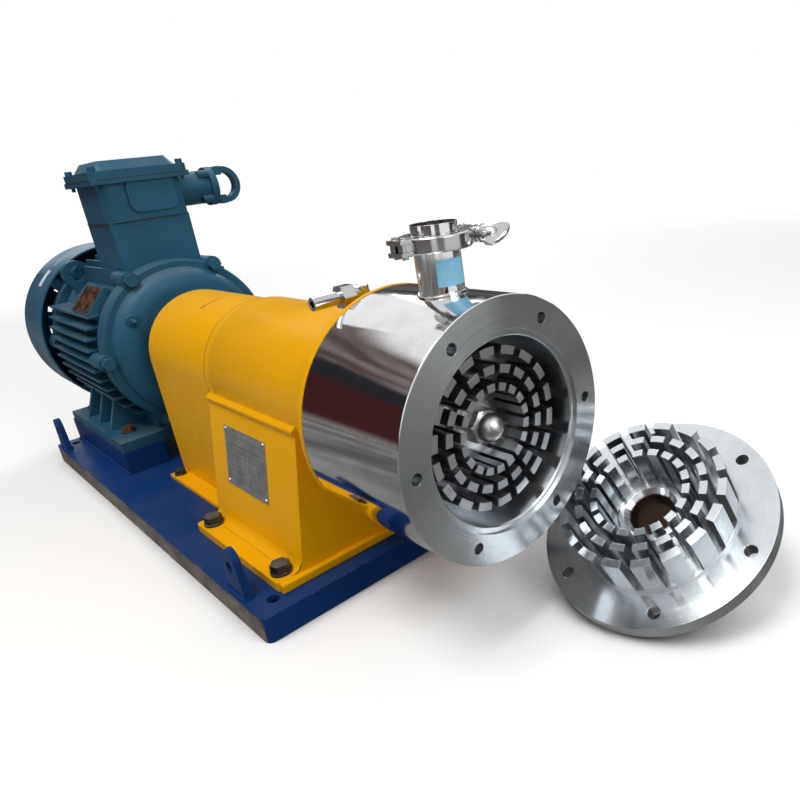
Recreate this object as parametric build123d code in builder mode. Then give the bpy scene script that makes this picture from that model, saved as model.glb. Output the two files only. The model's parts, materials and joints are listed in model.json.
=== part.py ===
from build123d import *
import os
from math import cos, sin, tan, radians, sqrt

os.makedirs("parts", exist_ok=True)

# Driving sizes in mm. X runs along the shaft towards the inlet, Z is up, the floor is Z = 0.
base_length = 756.0
base_width = 346.0
base_height = 28.0
plate_wall = 6.0
foundation_margin_x = 25.0
foundation_margin_y = 24.0
foundation_hole = 13.0

pad_height = 35.0
motor_height = 132.0
motor_foot_pitch_x = 178.0
motor_foot_pitch_y = 216.0
motor_shaft_radius = 19.0
casing_radius = 113.0
casing_length = 135.0
casing_front = 558.0
chamber_radius = 80.0
bolt_circle = 98.0
cover_holes = 6
cover_hole_phase = 59.8

tube_radius = 19.0
tube_bore = 17.4
ferrule_radius = 25.25
outlet_offset = 60.9
outlet_tip = 168.0
inlet_radius = 25.4
inlet_bore = 23.7
inlet_ferrule = 32.0

tooth_count = 18
tooth_angle = 13.0
rotor_tip_depth = 16.0
rotor_tooth_length = 34.0
stator_tooth_height = 44.3
ring_gap = 0.7
cover_thickness = 14.8
cover_tilt = 30.9
cover_yaw = -2.8
cover_x = 607.8
cover_y = 128.2

# Levels and stations that follow from them.
zs = base_height + pad_height + motor_height
floor_top = base_height
foundation_pitch_x = base_length - 2 * foundation_margin_x
foundation_pitch_y = base_width - 2 * foundation_margin_y
casing_back = casing_front - casing_length
rim_back = casing_back - 5.0
leg_front = casing_front - 208.0
leg_back = casing_front - 411.0
seam = casing_front - 421.0
guard_back = casing_front - 605.0
shield_face = casing_front - 665.0
frame_front = shield_face - 12.0
frame_back = casing_front - 932.0
cowl_front = frame_back - 0.5
cowl_back = casing_front - 1063.0
outlet_x = casing_front - outlet_offset
foot_bolt_x = casing_front - 719.0
run_gap = 0.05
clear = 0.3

axial = Plane(origin=(0, 0, zs), x_dir=(1, 0, 0), z_dir=(0, -1, 0))
shaft_axis = Axis((0, 0, zs), (1, 0, 0))


def across(x):
    # Plane square to the shaft: local x is +Y, local y is +Z.
    return Plane(origin=(x, 0, zs), x_dir=(0, 1, 0), z_dir=(1, 0, 0))


def bar_x(x0, x1, r, y=0.0, z=0.0, mode=Mode.ADD):
    # Round bar along the shaft direction, y and z measured from the shaft axis.
    with Locations(Location(((x0 + x1) / 2, y, zs + z), (0, 90, 0))):
        Cylinder(r, abs(x1 - x0), mode=mode)


def bar_z(x, y, z0, z1, r, mode=Mode.ADD):
    with Locations((x, y, (z0 + z1) / 2)):
        Cylinder(r, z1 - z0, mode=mode)


def bar_y(x, y0, y1, z, r, mode=Mode.ADD):
    with Locations(Location((x, (y0 + y1) / 2, z), (90, 0, 0))):
        Cylinder(r, y1 - y0, mode=mode)


def block(x0, x1, y0, y1, z0, z1, mode=Mode.ADD):
    with Locations(((x0 + x1) / 2, (y0 + y1) / 2, (z0 + z1) / 2)):
        Box(x1 - x0, y1 - y0, z1 - z0, mode=mode)


def turned(points, mode=Mode.ADD):
    # Closed profile of (station, radius) pairs turned about the shaft axis.
    with BuildSketch(axial, mode=Mode.PRIVATE) as profile:
        with BuildLine():
            Polyline(*points, close=True)
        make_face()
    revolve(profiles=profile.sketch, axis=shaft_axis, mode=mode)


def hex_x(x0, x1, flats, y=0.0, z=0.0, turn=0.0, mode=Mode.ADD):
    spot = Plane(origin=(x0, y, zs + z), x_dir=(0, 1, 0), z_dir=(1, 0, 0))
    with BuildSketch(spot, mode=Mode.PRIVATE) as head:
        RegularPolygon(flats / sqrt(3), 6, rotation=turn)
    extrude(to_extrude=head.sketch, amount=x1 - x0, mode=mode)


def hex_z(x, y, z0, z1, flats, turn=0.0, mode=Mode.ADD):
    spot = Plane(origin=(x, y, z0), x_dir=(1, 0, 0), z_dir=(0, 0, 1))
    with BuildSketch(spot, mode=Mode.PRIVATE) as head:
        RegularPolygon(flats / sqrt(3), 6, rotation=turn)
    extrude(to_extrude=head.sketch, amount=z1 - z0, mode=mode)


def save(node, label):
    node.part.label = label
    export_step(node.part, "parts/" + label + ".step")


# Base plate folded down on all four sides, open underneath.
with BuildPart() as base_frame:
    block(-base_length / 2, base_length / 2, -base_width / 2, base_width / 2, 0, floor_top)
    fillet(base_frame.edges().filter_by(Axis.Z), 8)
    block(-base_length / 2 + plate_wall, base_length / 2 - plate_wall, -base_width / 2 + plate_wall,
          base_width / 2 - plate_wall, 0, floor_top - plate_wall, mode=Mode.SUBTRACT)
    with Locations((0, 0, floor_top - plate_wall / 2)):
        with GridLocations(foundation_pitch_x, foundation_pitch_y, 2, 2):
            Cylinder(foundation_hole / 2, plate_wall, mode=Mode.SUBTRACT)
save(base_frame, "base_frame")

rib_stations = (-300.0, -90.0, 0.0, 150.0, 320.0)
rib_thick = 8.0
with BuildPart() as base_ribs:
    for x in rib_stations:
        block(x - rib_thick / 2, x + rib_thick / 2, -base_width / 2 + plate_wall,
              base_width / 2 - plate_wall, 0, floor_top - plate_wall)
save(base_ribs, "base_ribs")

# Four lifting plates with rounded tops, set on the long edges of the base.
lug_width = 40.0
lug_height = 52.0
lug_hole = 14.0
lug_y = 165.0
lug_thick = 8.0
lug_x_front = casing_front - 242.0
lug_x_back = casing_front - 902.0
with BuildPart() as lifting_plates:
    for x in (lug_x_front, lug_x_back):
        for side in (-1, 1):
            with BuildSketch(Plane(origin=(x, side * lug_y + lug_thick / 2, floor_top),
                                   x_dir=(1, 0, 0), z_dir=(0, -1, 0))):
                with BuildLine():
                    Polyline((-lug_width / 2, 0), (lug_width / 2, 0), (lug_width / 2 - 6, lug_height - 14),
                             (-lug_width / 2 + 6, lug_height - 14), close=True)
                make_face()
                with Locations((0, lug_height - 14)):
                    Circle(lug_width / 2 - 6)
                with Locations((0, lug_height - 20)):
                    Circle(lug_hole / 2, mode=Mode.SUBTRACT)
            extrude(amount=lug_thick)
save(lifting_plates, "lifting_plates")

# Two bars that raise the motor feet to the pump's shaft height.
pad_x0 = casing_front - 938.0
pad_x1 = casing_front - 670.0
pad_in = 78.0
pad_out = 136.0
foot_hole = 12.0
with BuildPart() as motor_pads:
    for side in (-1, 1):
        block(pad_x0, pad_x1, min(side * pad_in, side * pad_out), max(side * pad_in, side * pad_out),
              floor_top, floor_top + pad_height)
    for x in (foot_bolt_x, foot_bolt_x - motor_foot_pitch_x):
        for side in (-1, 1):
            bar_z(x, side * motor_foot_pitch_y / 2, floor_top + 8, floor_top + pad_height, 5.0,
                  mode=Mode.SUBTRACT)
save(motor_pads, "motor_pads")

# Motor frame: finned barrel, end flanges with lugs, feet with webs and the neck of the terminal box.
barrel = 108.0
barrel_bore = 98.0
flange_radius = 120.0
lug_circle = 119.0
lug_angles = (0, 60, 120, 180, 240, 300)
box_x = casing_front - 741.0
neck_half_x = 52.0
neck_half_y = 55.0
neck_top = 178.0
foot_top = floor_top + pad_height + 14.0
fin_levels = [-92 + 15.2 * k for k in range(11)]
top_fins = (-58, -43, -28, -13, 2, 17, 32, 47, 62, 76, 90)
with BuildPart() as motor_frame:
    bar_x(frame_back, frame_front, barrel)
    bar_x(frame_back, frame_back + 12, flange_radius)
    bar_x(frame_front - 12, frame_front, flange_radius)
    for level in fin_levels:
        reach = sqrt(131.0 ** 2 - level ** 2)
        block(frame_back + 20, frame_front - 26, -reach, reach, zs + level - 1.6, zs + level + 1.6)
    for y in top_fins:
        reach = sqrt(129.0 ** 2 - y ** 2)
        block(frame_back + 20, frame_front - 26, y - 1.6, y + 1.6, zs + 60, zs + reach)
    # Foot plates with chamfered corners and three webs each side.
    for side in (-1, 1):
        with BuildSketch(Plane.XY.offset(floor_top + pad_height)):
            with BuildLine():
                Polyline((frame_back + 4, side * 62), (frame_front, side * 62), (frame_front + 6, side * 88),
                         (frame_front + 6, side * 135), (frame_back, side * 135), (frame_back, side * 80),
                         close=True)
            make_face()
        extrude(amount=14)
        for x in (foot_bolt_x - 146, foot_bolt_x - 89, foot_bolt_x - 32):
            with BuildSketch(Plane(origin=(x - 4, 0, zs), x_dir=(0, 1, 0), z_dir=(1, 0, 0))):
                with BuildLine():
                    Polyline((side * 48, -90), (side * 98, -48), (side * 126, foot_top - zs),
                             (side * 62, foot_top - zs), close=True)
                make_face()
            extrude(amount=8)
    block(frame_back + 20, frame_front - 10, -74, -62, zs - 122, zs - 80)
    block(frame_back + 20, frame_front - 10, 62, 74, zs - 122, zs - 80)
    # Inclined pad for the nameplate, on the camera side.
    with BuildSketch(Plane(origin=(casing_front - 790, -90, zs + 72), x_dir=(0, 1, 1), z_dir=(1, 0, 0))):
        Rectangle(46, 22)
    extrude(amount=82)
    # Neck below the terminal box.
    block(box_x - neck_half_x, box_x + neck_half_x, -neck_half_y, neck_half_y, zs + 60, zs + neck_top)
    for angle in lug_angles:
        y = lug_circle * cos(radians(angle))
        z = lug_circle * sin(radians(angle))
        bar_x(frame_front - 30, frame_front, 11.8, y, z)
        bar_x(frame_back, frame_back + 24, 10, y, z)
    turned(((frame_back - 1, 0), (frame_front + 1, 0), (frame_front + 1, barrel_bore),
            (frame_back - 1, barrel_bore)), mode=Mode.SUBTRACT)
    block(box_x - 36, box_x + 36, -38, 38, zs + 80, zs + neck_top, mode=Mode.SUBTRACT)
    for angle in lug_angles:
        y = lug_circle * cos(radians(angle))
        z = lug_circle * sin(radians(angle))
        bar_x(frame_front - 22, frame_front, 4.25, y, z, mode=Mode.SUBTRACT)
        bar_x(frame_back, frame_back + 18, 4.25, y, z, mode=Mode.SUBTRACT)
    for x in (foot_bolt_x, foot_bolt_x - motor_foot_pitch_x):
        for side in (-1, 1):
            bar_z(x, side * motor_foot_pitch_y / 2, floor_top + pad_height, foot_top, foot_hole / 2,
                  mode=Mode.SUBTRACT)
save(motor_frame, "motor_frame")

# Domed drive end shield with six lugs; its bore holds the bearing.
motor_bearing_bore = 45.0
shield_front = casing_front - 638.0
bearing_x = shield_front - 14.0
with BuildPart() as motor_end_shield:
    turned(((frame_front, barrel_bore - 0.0), (frame_front, flange_radius), (shield_face, flange_radius),
            (shield_face + 2, flange_radius - 3), (shield_face + 2, 109), (shield_face + 9, 107),
            (shield_face + 17, 101), (shield_face + 22, 92), (shield_face + 24, 60), (shield_front, 57),
            (shield_front, motor_shaft_radius + run_gap), (shield_front - 4, motor_shaft_radius + run_gap),
            (shield_front - 4, motor_bearing_bore), (frame_front - 2, motor_bearing_bore),
            (frame_front - 2, 56), (shield_face + 14, 60), (shield_face + 14, 92), (shield_face, barrel_bore - 8),
            (frame_front, barrel_bore - 8)))
    for angle in lug_angles:
        y = lug_circle * cos(radians(angle))
        z = lug_circle * sin(radians(angle))
        bar_x(frame_front, shield_face + 4, 12, y, z)
    for angle in lug_angles:
        y = lug_circle * cos(radians(angle))
        z = lug_circle * sin(radians(angle))
        bar_x(frame_front, shield_face + 4, 5.0, y, z, mode=Mode.SUBTRACT)
    bar_x(shield_face + 8, shield_face + 24, 8, -77, 52)
    bar_x(shield_face + 24, shield_face + 30, 4, -77, 52)
    turned(((frame_front, 0), (shield_front + 2, 0), (shield_front + 2, motor_shaft_radius + run_gap),
            (frame_front, motor_shaft_radius + run_gap)), mode=Mode.SUBTRACT)
save(motor_end_shield, "motor_end_shield")

rear_face = frame_back - 14.0
with BuildPart() as motor_rear_shield:
    turned(((frame_back, barrel_bore - 8), (frame_back, flange_radius), (rear_face, flange_radius),
            (rear_face, 104), (rear_face - 8, 60), (rear_face - 8, motor_shaft_radius + run_gap),
            (rear_face - 4, motor_shaft_radius + run_gap), (rear_face - 4, motor_bearing_bore),
            (frame_back + 10, motor_bearing_bore), (frame_back + 10, 56), (rear_face + 6, 60),
            (rear_face + 6, barrel_bore - 8)))
    for angle in lug_angles:
        y = lug_circle * cos(radians(angle))
        z = lug_circle * sin(radians(angle))
        bar_x(rear_face, frame_back, 11, y, z)
        bar_x(rear_face, frame_back, 5.0, y, z, mode=Mode.SUBTRACT)
save(motor_rear_shield, "motor_rear_shield")

with BuildPart() as end_shield_bolts:
    for angle in lug_angles:
        y = lug_circle * cos(radians(angle))
        z = lug_circle * sin(radians(angle))
        bar_x(frame_front - 20, shield_face + 4, 4.25, y, z)
        bar_x(shield_face + 4, shield_face + 6, 9.4, y, z)
        hex_x(shield_face + 6, shield_face + 13, 16.0, y, z, 20 * angle)
        bar_x(rear_face - 2, frame_back + 16, 4.25, y, z)
        hex_x(rear_face - 8, rear_face, 16.0, y, z)
save(end_shield_bolts, "end_shield_bolts")

# Stator pack pressed into the frame, with winding overhangs at both ends.
stack_x0 = frame_back + 60.0
stack_x1 = frame_front - 62.0
stator_bore = 62.0
with BuildPart() as stator_core:
    turned(((stack_x0, stator_bore), (stack_x1, stator_bore), (stack_x1, barrel_bore), (stack_x0, barrel_bore)))
save(stator_core, "stator_core")

with BuildPart() as stator_windings:
    for a, b in ((stack_x0, stack_x0 - 34), (stack_x1, stack_x1 + 34)):
        turned(((a, 66), (a, 90), (b, 86), (b, 70)))
save(stator_windings, "stator_windings")

with BuildPart() as motor_bearing_outers:
    for a, b in ((shield_front - 4, shield_front - 27), (rear_face - 4, rear_face + 19)):
        turned(((a, 26.3), (a, motor_bearing_bore), (b, motor_bearing_bore), (b, 26.3)))
save(motor_bearing_outers, "motor_bearing_outers")

# Sheet cowl over the fan, with rings of air slots in its back.
cowl_radius = 138.5
cowl_wall = 2.5
with BuildPart() as fan_cowl:
    turned(((cowl_front, cowl_radius - cowl_wall), (cowl_front, cowl_radius), (cowl_back + 18, cowl_radius),
            (cowl_back + 8, cowl_radius - 3), (cowl_back + 2, cowl_radius - 9), (cowl_back, cowl_radius - 18),
            (cowl_back, 0), (cowl_back + cowl_wall, 0), (cowl_back + cowl_wall, cowl_radius - 18.5),
            (cowl_back + 4.2, cowl_radius - 11), (cowl_back + 9.5, cowl_radius - 5.4),
            (cowl_back + 18, cowl_radius - cowl_wall)))
    for radius, count in ((40, 8), (66, 12), (92, 16)):
        with BuildSketch(across(cowl_back)):
            with PolarLocations(radius, count):
                Rectangle(18, 9)
        extrude(amount=cowl_wall, mode=Mode.SUBTRACT)
    # Four feet join the cowl to the lugs of the rear shield.
    for angle in (45, 135, 225, 315):
        with BuildSketch(Plane(origin=(rear_face - 22, 0, zs), x_dir=(0, cos(radians(angle)), sin(radians(angle))),
                               z_dir=(1, 0, 0))):
            with Locations((cowl_radius - cowl_wall - 10.5, 0)):
                Rectangle(23, 16)
        extrude(amount=22)
save(fan_cowl, "fan_cowl")

# Terminal box on the neck, with a raised panel on the face towards the pump.
box_half_x = 55.0
box_half_y = 57.0
box_top = 236.0
gland_z = 210.0
with BuildPart() as terminal_box:
    block(box_x - box_half_x, box_x + box_half_x, -box_half_y, box_half_y, zs + neck_top, zs + box_top)
    fillet(terminal_box.edges().filter_by(Axis.Z), 14)
    with BuildSketch(Plane(origin=(box_x + box_half_x - 2, 10, zs + 210), x_dir=(0, 1, 0), z_dir=(1, 0, 0))):
        RectangleRounded(66, 44, 12)
    extrude(amount=6)
    block(box_x - 64, box_x + 64, -66, 66, zs + box_top - 7, zs + box_top)
    fillet(terminal_box.edges().filter_by(Axis.Z).sort_by(SortBy.DISTANCE)[-1:], 1)
    bar_y(box_x, box_half_y - 4, box_half_y + 10, zs + gland_z, 25)
    block(box_x - 45, box_x + 45, -47, 47, zs + neck_top + 8, zs + box_top, mode=Mode.SUBTRACT)
    block(box_x - 30, box_x + 30, -32, 32, zs + neck_top, zs + neck_top + 8, mode=Mode.SUBTRACT)
    bar_y(box_x, 40, box_half_y + 10, zs + gland_z, 16, mode=Mode.SUBTRACT)
    with Locations((box_x, 0, zs + box_top - 7)):
        with GridLocations(112, 116, 2, 2):
            Cylinder(2.6, 14, mode=Mode.SUBTRACT)
save(terminal_box, "terminal_box")

lid_thick = 10.0
with BuildPart() as terminal_lid:
    with BuildSketch(Plane.XY.offset(zs + box_top)):
        with Locations((box_x, 0)):
            RectangleRounded(128, 132, 10)
    extrude(amount=lid_thick)
    with BuildSketch(Plane.XY.offset(zs + box_top + lid_thick)):
        with Locations((box_x, 0)):
            RectangleRounded(108, 112, 14)
    extrude(amount=13, taper=40)
    with Locations((box_x, 0, zs + box_top + lid_thick / 2)):
        with GridLocations(112, 116, 2, 2):
            Cylinder(3.2, lid_thick, mode=Mode.SUBTRACT)
save(terminal_lid, "terminal_lid")

with BuildPart() as lid_screws:
    for dx in (-56, 56):
        for dy in (-58, 58):
            bar_z(box_x + dx, dy, zs + box_top - 12, zs + box_top + lid_thick, 2.6)
            bar_z(box_x + dx, dy, zs + box_top + lid_thick, zs + box_top + lid_thick + 6, 4.8)
            hex_z(box_x + dx, dy, zs + box_top + lid_thick + 2.5, zs + box_top + lid_thick + 6, 5,
                  mode=Mode.SUBTRACT)
save(lid_screws, "lid_screws")

with BuildPart() as terminal_block:
    block(box_x - 38, box_x + 38, -45, -22, zs + neck_top + 8, zs + neck_top + 20)
    block(box_x - 38, box_x + 38, -40, -27, zs + neck_top + 20, zs + neck_top + 24)
    for k in range(6):
        bar_z(box_x - 30 + 12 * k, -33.5, zs + neck_top + 24, zs + neck_top + 36, 2.5)
save(terminal_block, "terminal_block")

# Cable gland on the far side: barrel, collar, saddle and open yoke.
gland_start = box_half_y + 10.0
with BuildPart() as cable_gland:
    bar_y(box_x, gland_start, gland_start + 34, zs + gland_z, 24)
    bar_y(box_x, gland_start + 34, gland_start + 44, zs + gland_z, 22)
    bar_y(box_x, gland_start - 12, gland_start, zs + gland_z, 16)
    with Locations(Location((box_x, gland_start + 36, zs + gland_z), (90, 0, 0))):
        with PolarLocations(25, 4, start_angle=45):
            Cylinder(6, 16)
    bar_y(box_x, gland_start - 12, gland_start + 44, zs + gland_z, 12, mode=Mode.SUBTRACT)
save(cable_gland, "cable_gland")

yoke_start = gland_start + 44.0
with BuildPart() as gland_clamp:
    bar_y(box_x, yoke_start, yoke_start + 10, zs + gland_z, 28)
    bar_y(box_x, yoke_start, yoke_start + 10, zs + gland_z, 14, mode=Mode.SUBTRACT)
    block(box_x - 9, box_x + 9, yoke_start, yoke_start + 26, zs + gland_z + 15, zs + gland_z + 27)
    block(box_x - 9, box_x + 9, yoke_start, yoke_start + 26, zs + gland_z - 27, zs + gland_z - 15)
    with BuildSketch(Plane(origin=(box_x - 8, yoke_start + 26, zs + gland_z), x_dir=(0, 1, 0), z_dir=(1, 0, 0))):
        Circle(27)
        Circle(19, mode=Mode.SUBTRACT)
    extrude(amount=16)
save(gland_clamp, "gland_clamp")

with BuildPart() as gland_bolts:
    for dz in (-21, 21):
        hex_x(box_x + 9, box_x + 15, 13, yoke_start + 18, gland_z + dz)
        bar_x(box_x - 15, box_x - 9, 6.5, yoke_start + 18, gland_z + dz)
save(gland_bolts, "gland_bolts")

plate_tilt = Plane(origin=(casing_front - 749, -90 - 11 / sqrt(2), zs + 72 + 11 / sqrt(2)),
                   x_dir=(1, 0, 0), z_dir=(0, -1, 1))
with BuildPart() as motor_nameplate:
    with BuildSketch(plate_tilt):
        Rectangle(74, 42)
    extrude(amount=0.8)
    with BuildSketch(plate_tilt.offset(0.8)):
        with GridLocations(67, 35, 2, 2):
            Circle(1.6)
    extrude(amount=0.9)
save(motor_nameplate, "motor_nameplate")

# Cast lifting eye on the frame's shoulder.
eye_angle = 34.0
eye_x = casing_front - 884.0
with BuildPart() as lifting_eye:
    eye_plane = Plane(origin=(eye_x - 7, 0, zs), x_dir=(0, cos(radians(eye_angle)), sin(radians(eye_angle))),
                      z_dir=(1, 0, 0))
    with BuildSketch(eye_plane):
        with Locations((0, 126)):
            Circle(21)
        with Locations((0, 116)):
            Rectangle(42, 20)
        with Locations((0, 127)):
            Circle(11, mode=Mode.SUBTRACT)
        Circle(barrel, mode=Mode.SUBTRACT)
    extrude(amount=14)
    for level in fin_levels:
        block(eye_x - 8, eye_x + 8, -140, 140, zs + level - 1.6, zs + level + 1.6, mode=Mode.SUBTRACT)
    for y in top_fins:
        block(eye_x - 8, eye_x + 8, y - 1.6, y + 1.6, zs, zs + sqrt(129.0 ** 2 - y ** 2), mode=Mode.SUBTRACT)
save(lifting_eye, "lifting_eye")

with BuildPart() as motor_foot_bolts:
    for x in (foot_bolt_x, foot_bolt_x - motor_foot_pitch_x):
        for side in (-1, 1):
            y = side * motor_foot_pitch_y / 2
            bar_z(x, y, floor_top + 10, foot_top, 5.0)
            bar_z(x, y, foot_top, foot_top + 2, 10.5)
            hex_z(x, y, foot_top + 2, foot_top + 8.4, 16)
save(motor_foot_bolts, "motor_foot_bolts")

# Coupling guard: arched sheet with side flanges screwed to the base.
guard_radius = 80.0
guard_wall = 3.0
guard_flange = 101.0
guard_foot = 5.0
with BuildPart() as coupling_guard:
    with BuildSketch(across(guard_back)):
        Circle(guard_radius)
        with Locations((0, (floor_top - zs) / 2)):
            Rectangle(2 * guard_radius, zs - floor_top)
        with Locations((0, floor_top - zs + guard_foot / 2)):
            Rectangle(2 * guard_flange, guard_foot)
        Circle(guard_radius - guard_wall, mode=Mode.SUBTRACT)
        with Locations((0, (floor_top - zs) / 2)):
            Rectangle(2 * guard_radius - 2 * guard_wall, zs - floor_top, mode=Mode.SUBTRACT)
    extrude(amount=seam - guard_back)
    for x in (guard_back + 14, seam - 22):
        for side in (-1, 1):
            bar_z(x, side * 91, floor_top, floor_top + guard_foot, 4.2, mode=Mode.SUBTRACT)
save(coupling_guard, "coupling_guard")

with BuildPart() as guard_bolts:
    for x in (guard_back + 14, seam - 22):
        for side in (-1, 1):
            bar_z(x, side * 91, floor_top, floor_top + guard_foot, 4.2)
            bar_z(x, side * 91, floor_top + guard_foot, floor_top + guard_foot + 1.6, 8)
            hex_z(x, side * 91, floor_top + guard_foot + 1.6, floor_top + guard_foot + 7, 13)
save(guard_bolts, "guard_bolts")

# Bearing pedestal: housing, flared rim, tapered leg with side boxes, foot plate.
housing_radius = 84.0
leg_half = 112.0
flush_x = casing_front - 158.0
flush_y = -16.0
flush_z = 110.0
flush_seat = 84.0
rim_radius = 115.5
pump_bearing_bore = 45.0
foot_half = 140.0
foot_thick = 10.0
foot_level = floor_top - zs
pedestal_bolt_y = 126.0
with BuildPart() as bearing_pedestal:
    with BuildSketch(axial):
        with BuildLine():
            Polyline((seam + 0.0, 0), (seam + 0.0, guard_radius), (leg_back + 8, guard_radius + 1),
                     (leg_back + 14, housing_radius), (rim_back - 66, housing_radius))
            Spline((rim_back - 66, housing_radius), (rim_back - 22, 93), (rim_back - 3, 108),
                   (rim_back, rim_radius))
            Polyline((rim_back, rim_radius), (casing_back, rim_radius), (casing_back, 0), (seam + 0.0, 0))
        make_face()
    revolve(axis=shaft_axis)
    with BuildSketch(across(leg_back)):
        with BuildLine():
            Polyline((-leg_half, foot_level + foot_thick), (leg_half, foot_level + foot_thick), (86, -16), (77, 4),
                     (-77, 4), (-86, -16), close=True)
        make_face()
    extrude(amount=leg_front - leg_back)
    block(leg_back, leg_front, -foot_half, foot_half, floor_top, floor_top + foot_thick)
    fillet(bearing_pedestal.edges().filter_by(Axis.Z).filter_by(
        lambda e: abs(abs(e.center().Y) - foot_half) < 0.1), 6)
    # Hollow leg, bearing bore, lantern space and drain opening below.
    with BuildSketch(across(leg_back + 12)):
        with BuildLine():
            Polyline((-98, foot_level), (98, foot_level), (76, -64), (-76, -64), close=True)
        make_face()
    extrude(amount=leg_front - leg_back - 24, mode=Mode.SUBTRACT)
    bar_x(seam, casing_back, pump_bearing_bore, mode=Mode.SUBTRACT)
    bar_x(rim_back - 36, casing_back, 74, mode=Mode.SUBTRACT)
    bar_z(flush_x, flush_y, zs + flush_seat, zs + 140, 8, mode=Mode.SUBTRACT)
    bar_y(flush_x, -42, flush_y, zs + flush_z, 11.3, mode=Mode.SUBTRACT)
    for x in (leg_front - 18, leg_back + 20):
        for side in (-1, 1):
            bar_z(x, side * pedestal_bolt_y, floor_top, floor_top + foot_thick, 6.5, mode=Mode.SUBTRACT)
save(bearing_pedestal, "bearing_pedestal")

with BuildPart() as pedestal_bolts:
    for x in (leg_front - 18, leg_back + 20):
        for side in (-1, 1):
            y = side * pedestal_bolt_y
            bar_z(x, y, floor_top, floor_top + foot_thick, 6.5)
            bar_z(x, y, floor_top + foot_thick, floor_top + foot_thick + 2.5, 11.5)
            hex_z(x, y, floor_top + foot_thick + 2.5, floor_top + foot_thick + 11, 18, 15)
save(pedestal_bolts, "pedestal_bolts")

# Bare nameplate riveted on the inclined side of the leg.
side_rise = -16 - (foot_level + foot_thick)
side_run = leg_half - 86.0
side_len = sqrt(side_rise ** 2 + side_run ** 2)
side_normal = (0, -side_rise / side_len, side_run / side_len)
plate_z = -72.0
plate_y = -(86.0 + side_run * (-16 - plate_z) / side_rise)
name_plane = Plane(origin=(casing_front - 322, plate_y, zs + plate_z), x_dir=(1, 0, 0), z_dir=side_normal)
with BuildPart() as pump_nameplate:
    with BuildSketch(name_plane):
        Rectangle(98, 80)
    extrude(amount=0.8)
save(pump_nameplate, "pump_nameplate")

with BuildPart() as nameplate_rivets:
    with BuildSketch(name_plane.offset(0.8)):
        with GridLocations(90, 72, 2, 2):
            Circle(2.2)
    extrude(amount=1.2)
save(nameplate_rivets, "nameplate_rivets")

# Bearings of the pump shaft.
journal = 20.0
bearing_width = 23.0
bearing_a = leg_back + 10.0
bearing_b = leg_front - 30.0
inner_ring = 26.0
with BuildPart() as pump_bearing_outers:
    for x in (bearing_a, bearing_b):
        turned(((x, inner_ring + clear), (x + bearing_width, inner_ring + clear),
                (x + bearing_width, pump_bearing_bore), (x, pump_bearing_bore)))
save(pump_bearing_outers, "pump_bearing_outers")

with BuildPart() as bearing_covers:
    turned(((seam, journal + run_gap), (seam, pump_bearing_bore), (bearing_a, pump_bearing_bore),
            (bearing_a, 36), (bearing_a - 6, 34), (bearing_a - 6, journal + run_gap)))
    turned(((bearing_b + bearing_width, 36), (bearing_b + bearing_width, pump_bearing_bore),
            (bearing_b + bearing_width + 12, pump_bearing_bore),
            (bearing_b + bearing_width + 12, journal + run_gap),
            (bearing_b + bearing_width + 6, journal + run_gap), (bearing_b + bearing_width + 6, 34)))
save(bearing_covers, "bearing_covers")

# Polished casing: front flange face with six tapped holes, chamber, back wall, outlet opening.
chamber_back = casing_front - 84.0
wall_back = casing_front - 100.0
seal_bore = 34.0
with BuildPart() as pump_casing:
    turned(((casing_back, 74), (casing_back, casing_radius), (casing_front - 0.6, casing_radius),
            (casing_front, casing_radius - 0.6), (casing_front, 86.0), (casing_front - 2.5, 86.0),
            (casing_front - 2.5, 81.0), (casing_front - 3.5, chamber_radius), (chamber_back, chamber_radius),
            (chamber_back, seal_bore), (wall_back, seal_bore), (wall_back, 96), (casing_back + 6, 96),
            (casing_back + 6, 74)))
    bar_z(outlet_x, 0, zs + 60, zs + 96, tube_bore, mode=Mode.SUBTRACT)
    bar_z(outlet_x, 0, zs + 95, zs + 130, tube_radius, mode=Mode.SUBTRACT)
    for k in range(cover_holes):
        angle = radians(cover_hole_phase + 60 * k)
        bar_x(casing_front - 24, casing_front, 5.0, bolt_circle * cos(angle), bolt_circle * sin(angle),
              mode=Mode.SUBTRACT)
save(pump_casing, "pump_casing")

with BuildPart() as seal_housing:
    turned(((wall_back, 28), (wall_back, 58), (wall_back - 10, 58), (wall_back - 10, 40), (wall_back - 18, 38),
            (wall_back - 18, 28)))
    with Locations(Location((wall_back - 10, 0, zs), (0, 90, 0))):
        with PolarLocations(49, 4, start_angle=45):
            Cylinder(5.5, 8, align=(Align.CENTER, Align.CENTER, Align.MAX))
save(seal_housing, "seal_housing")

seal_shaft = 17.5
with BuildPart() as seal_seat:
    turned(((wall_back - 12, seal_shaft + clear), (wall_back - 12, 28), (wall_back, 28), (wall_back, 24),
            (wall_back - 2, 24), (wall_back - 2, seal_shaft + clear)))
save(seal_seat, "seal_seat")

# Outlet: tube with ferrule, gasket and the short stub above it.
ferrule_face = 153.0
gasket = 1.6
lip = 2.9


def ferrule(z0, up):
    # Clamp ferrule with a coned back; z0 is its sealing face, up is +1 when it grows upwards.
    with BuildSketch(Plane(origin=(outlet_x, 0, zs + z0), x_dir=(1, 0, 0), z_dir=(0, -1, 0)),
                     mode=Mode.PRIVATE) as half:
        with BuildLine():
            Polyline((tube_bore, 0), (ferrule_radius, 0), (ferrule_radius, up * lip),
                     (tube_radius, up * (lip + 2.3)), (tube_bore, up * (lip + 2.3)), close=True)
        make_face()
    revolve(profiles=half.sketch, axis=Axis((outlet_x, 0, zs), (0, 0, 1)))


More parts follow.
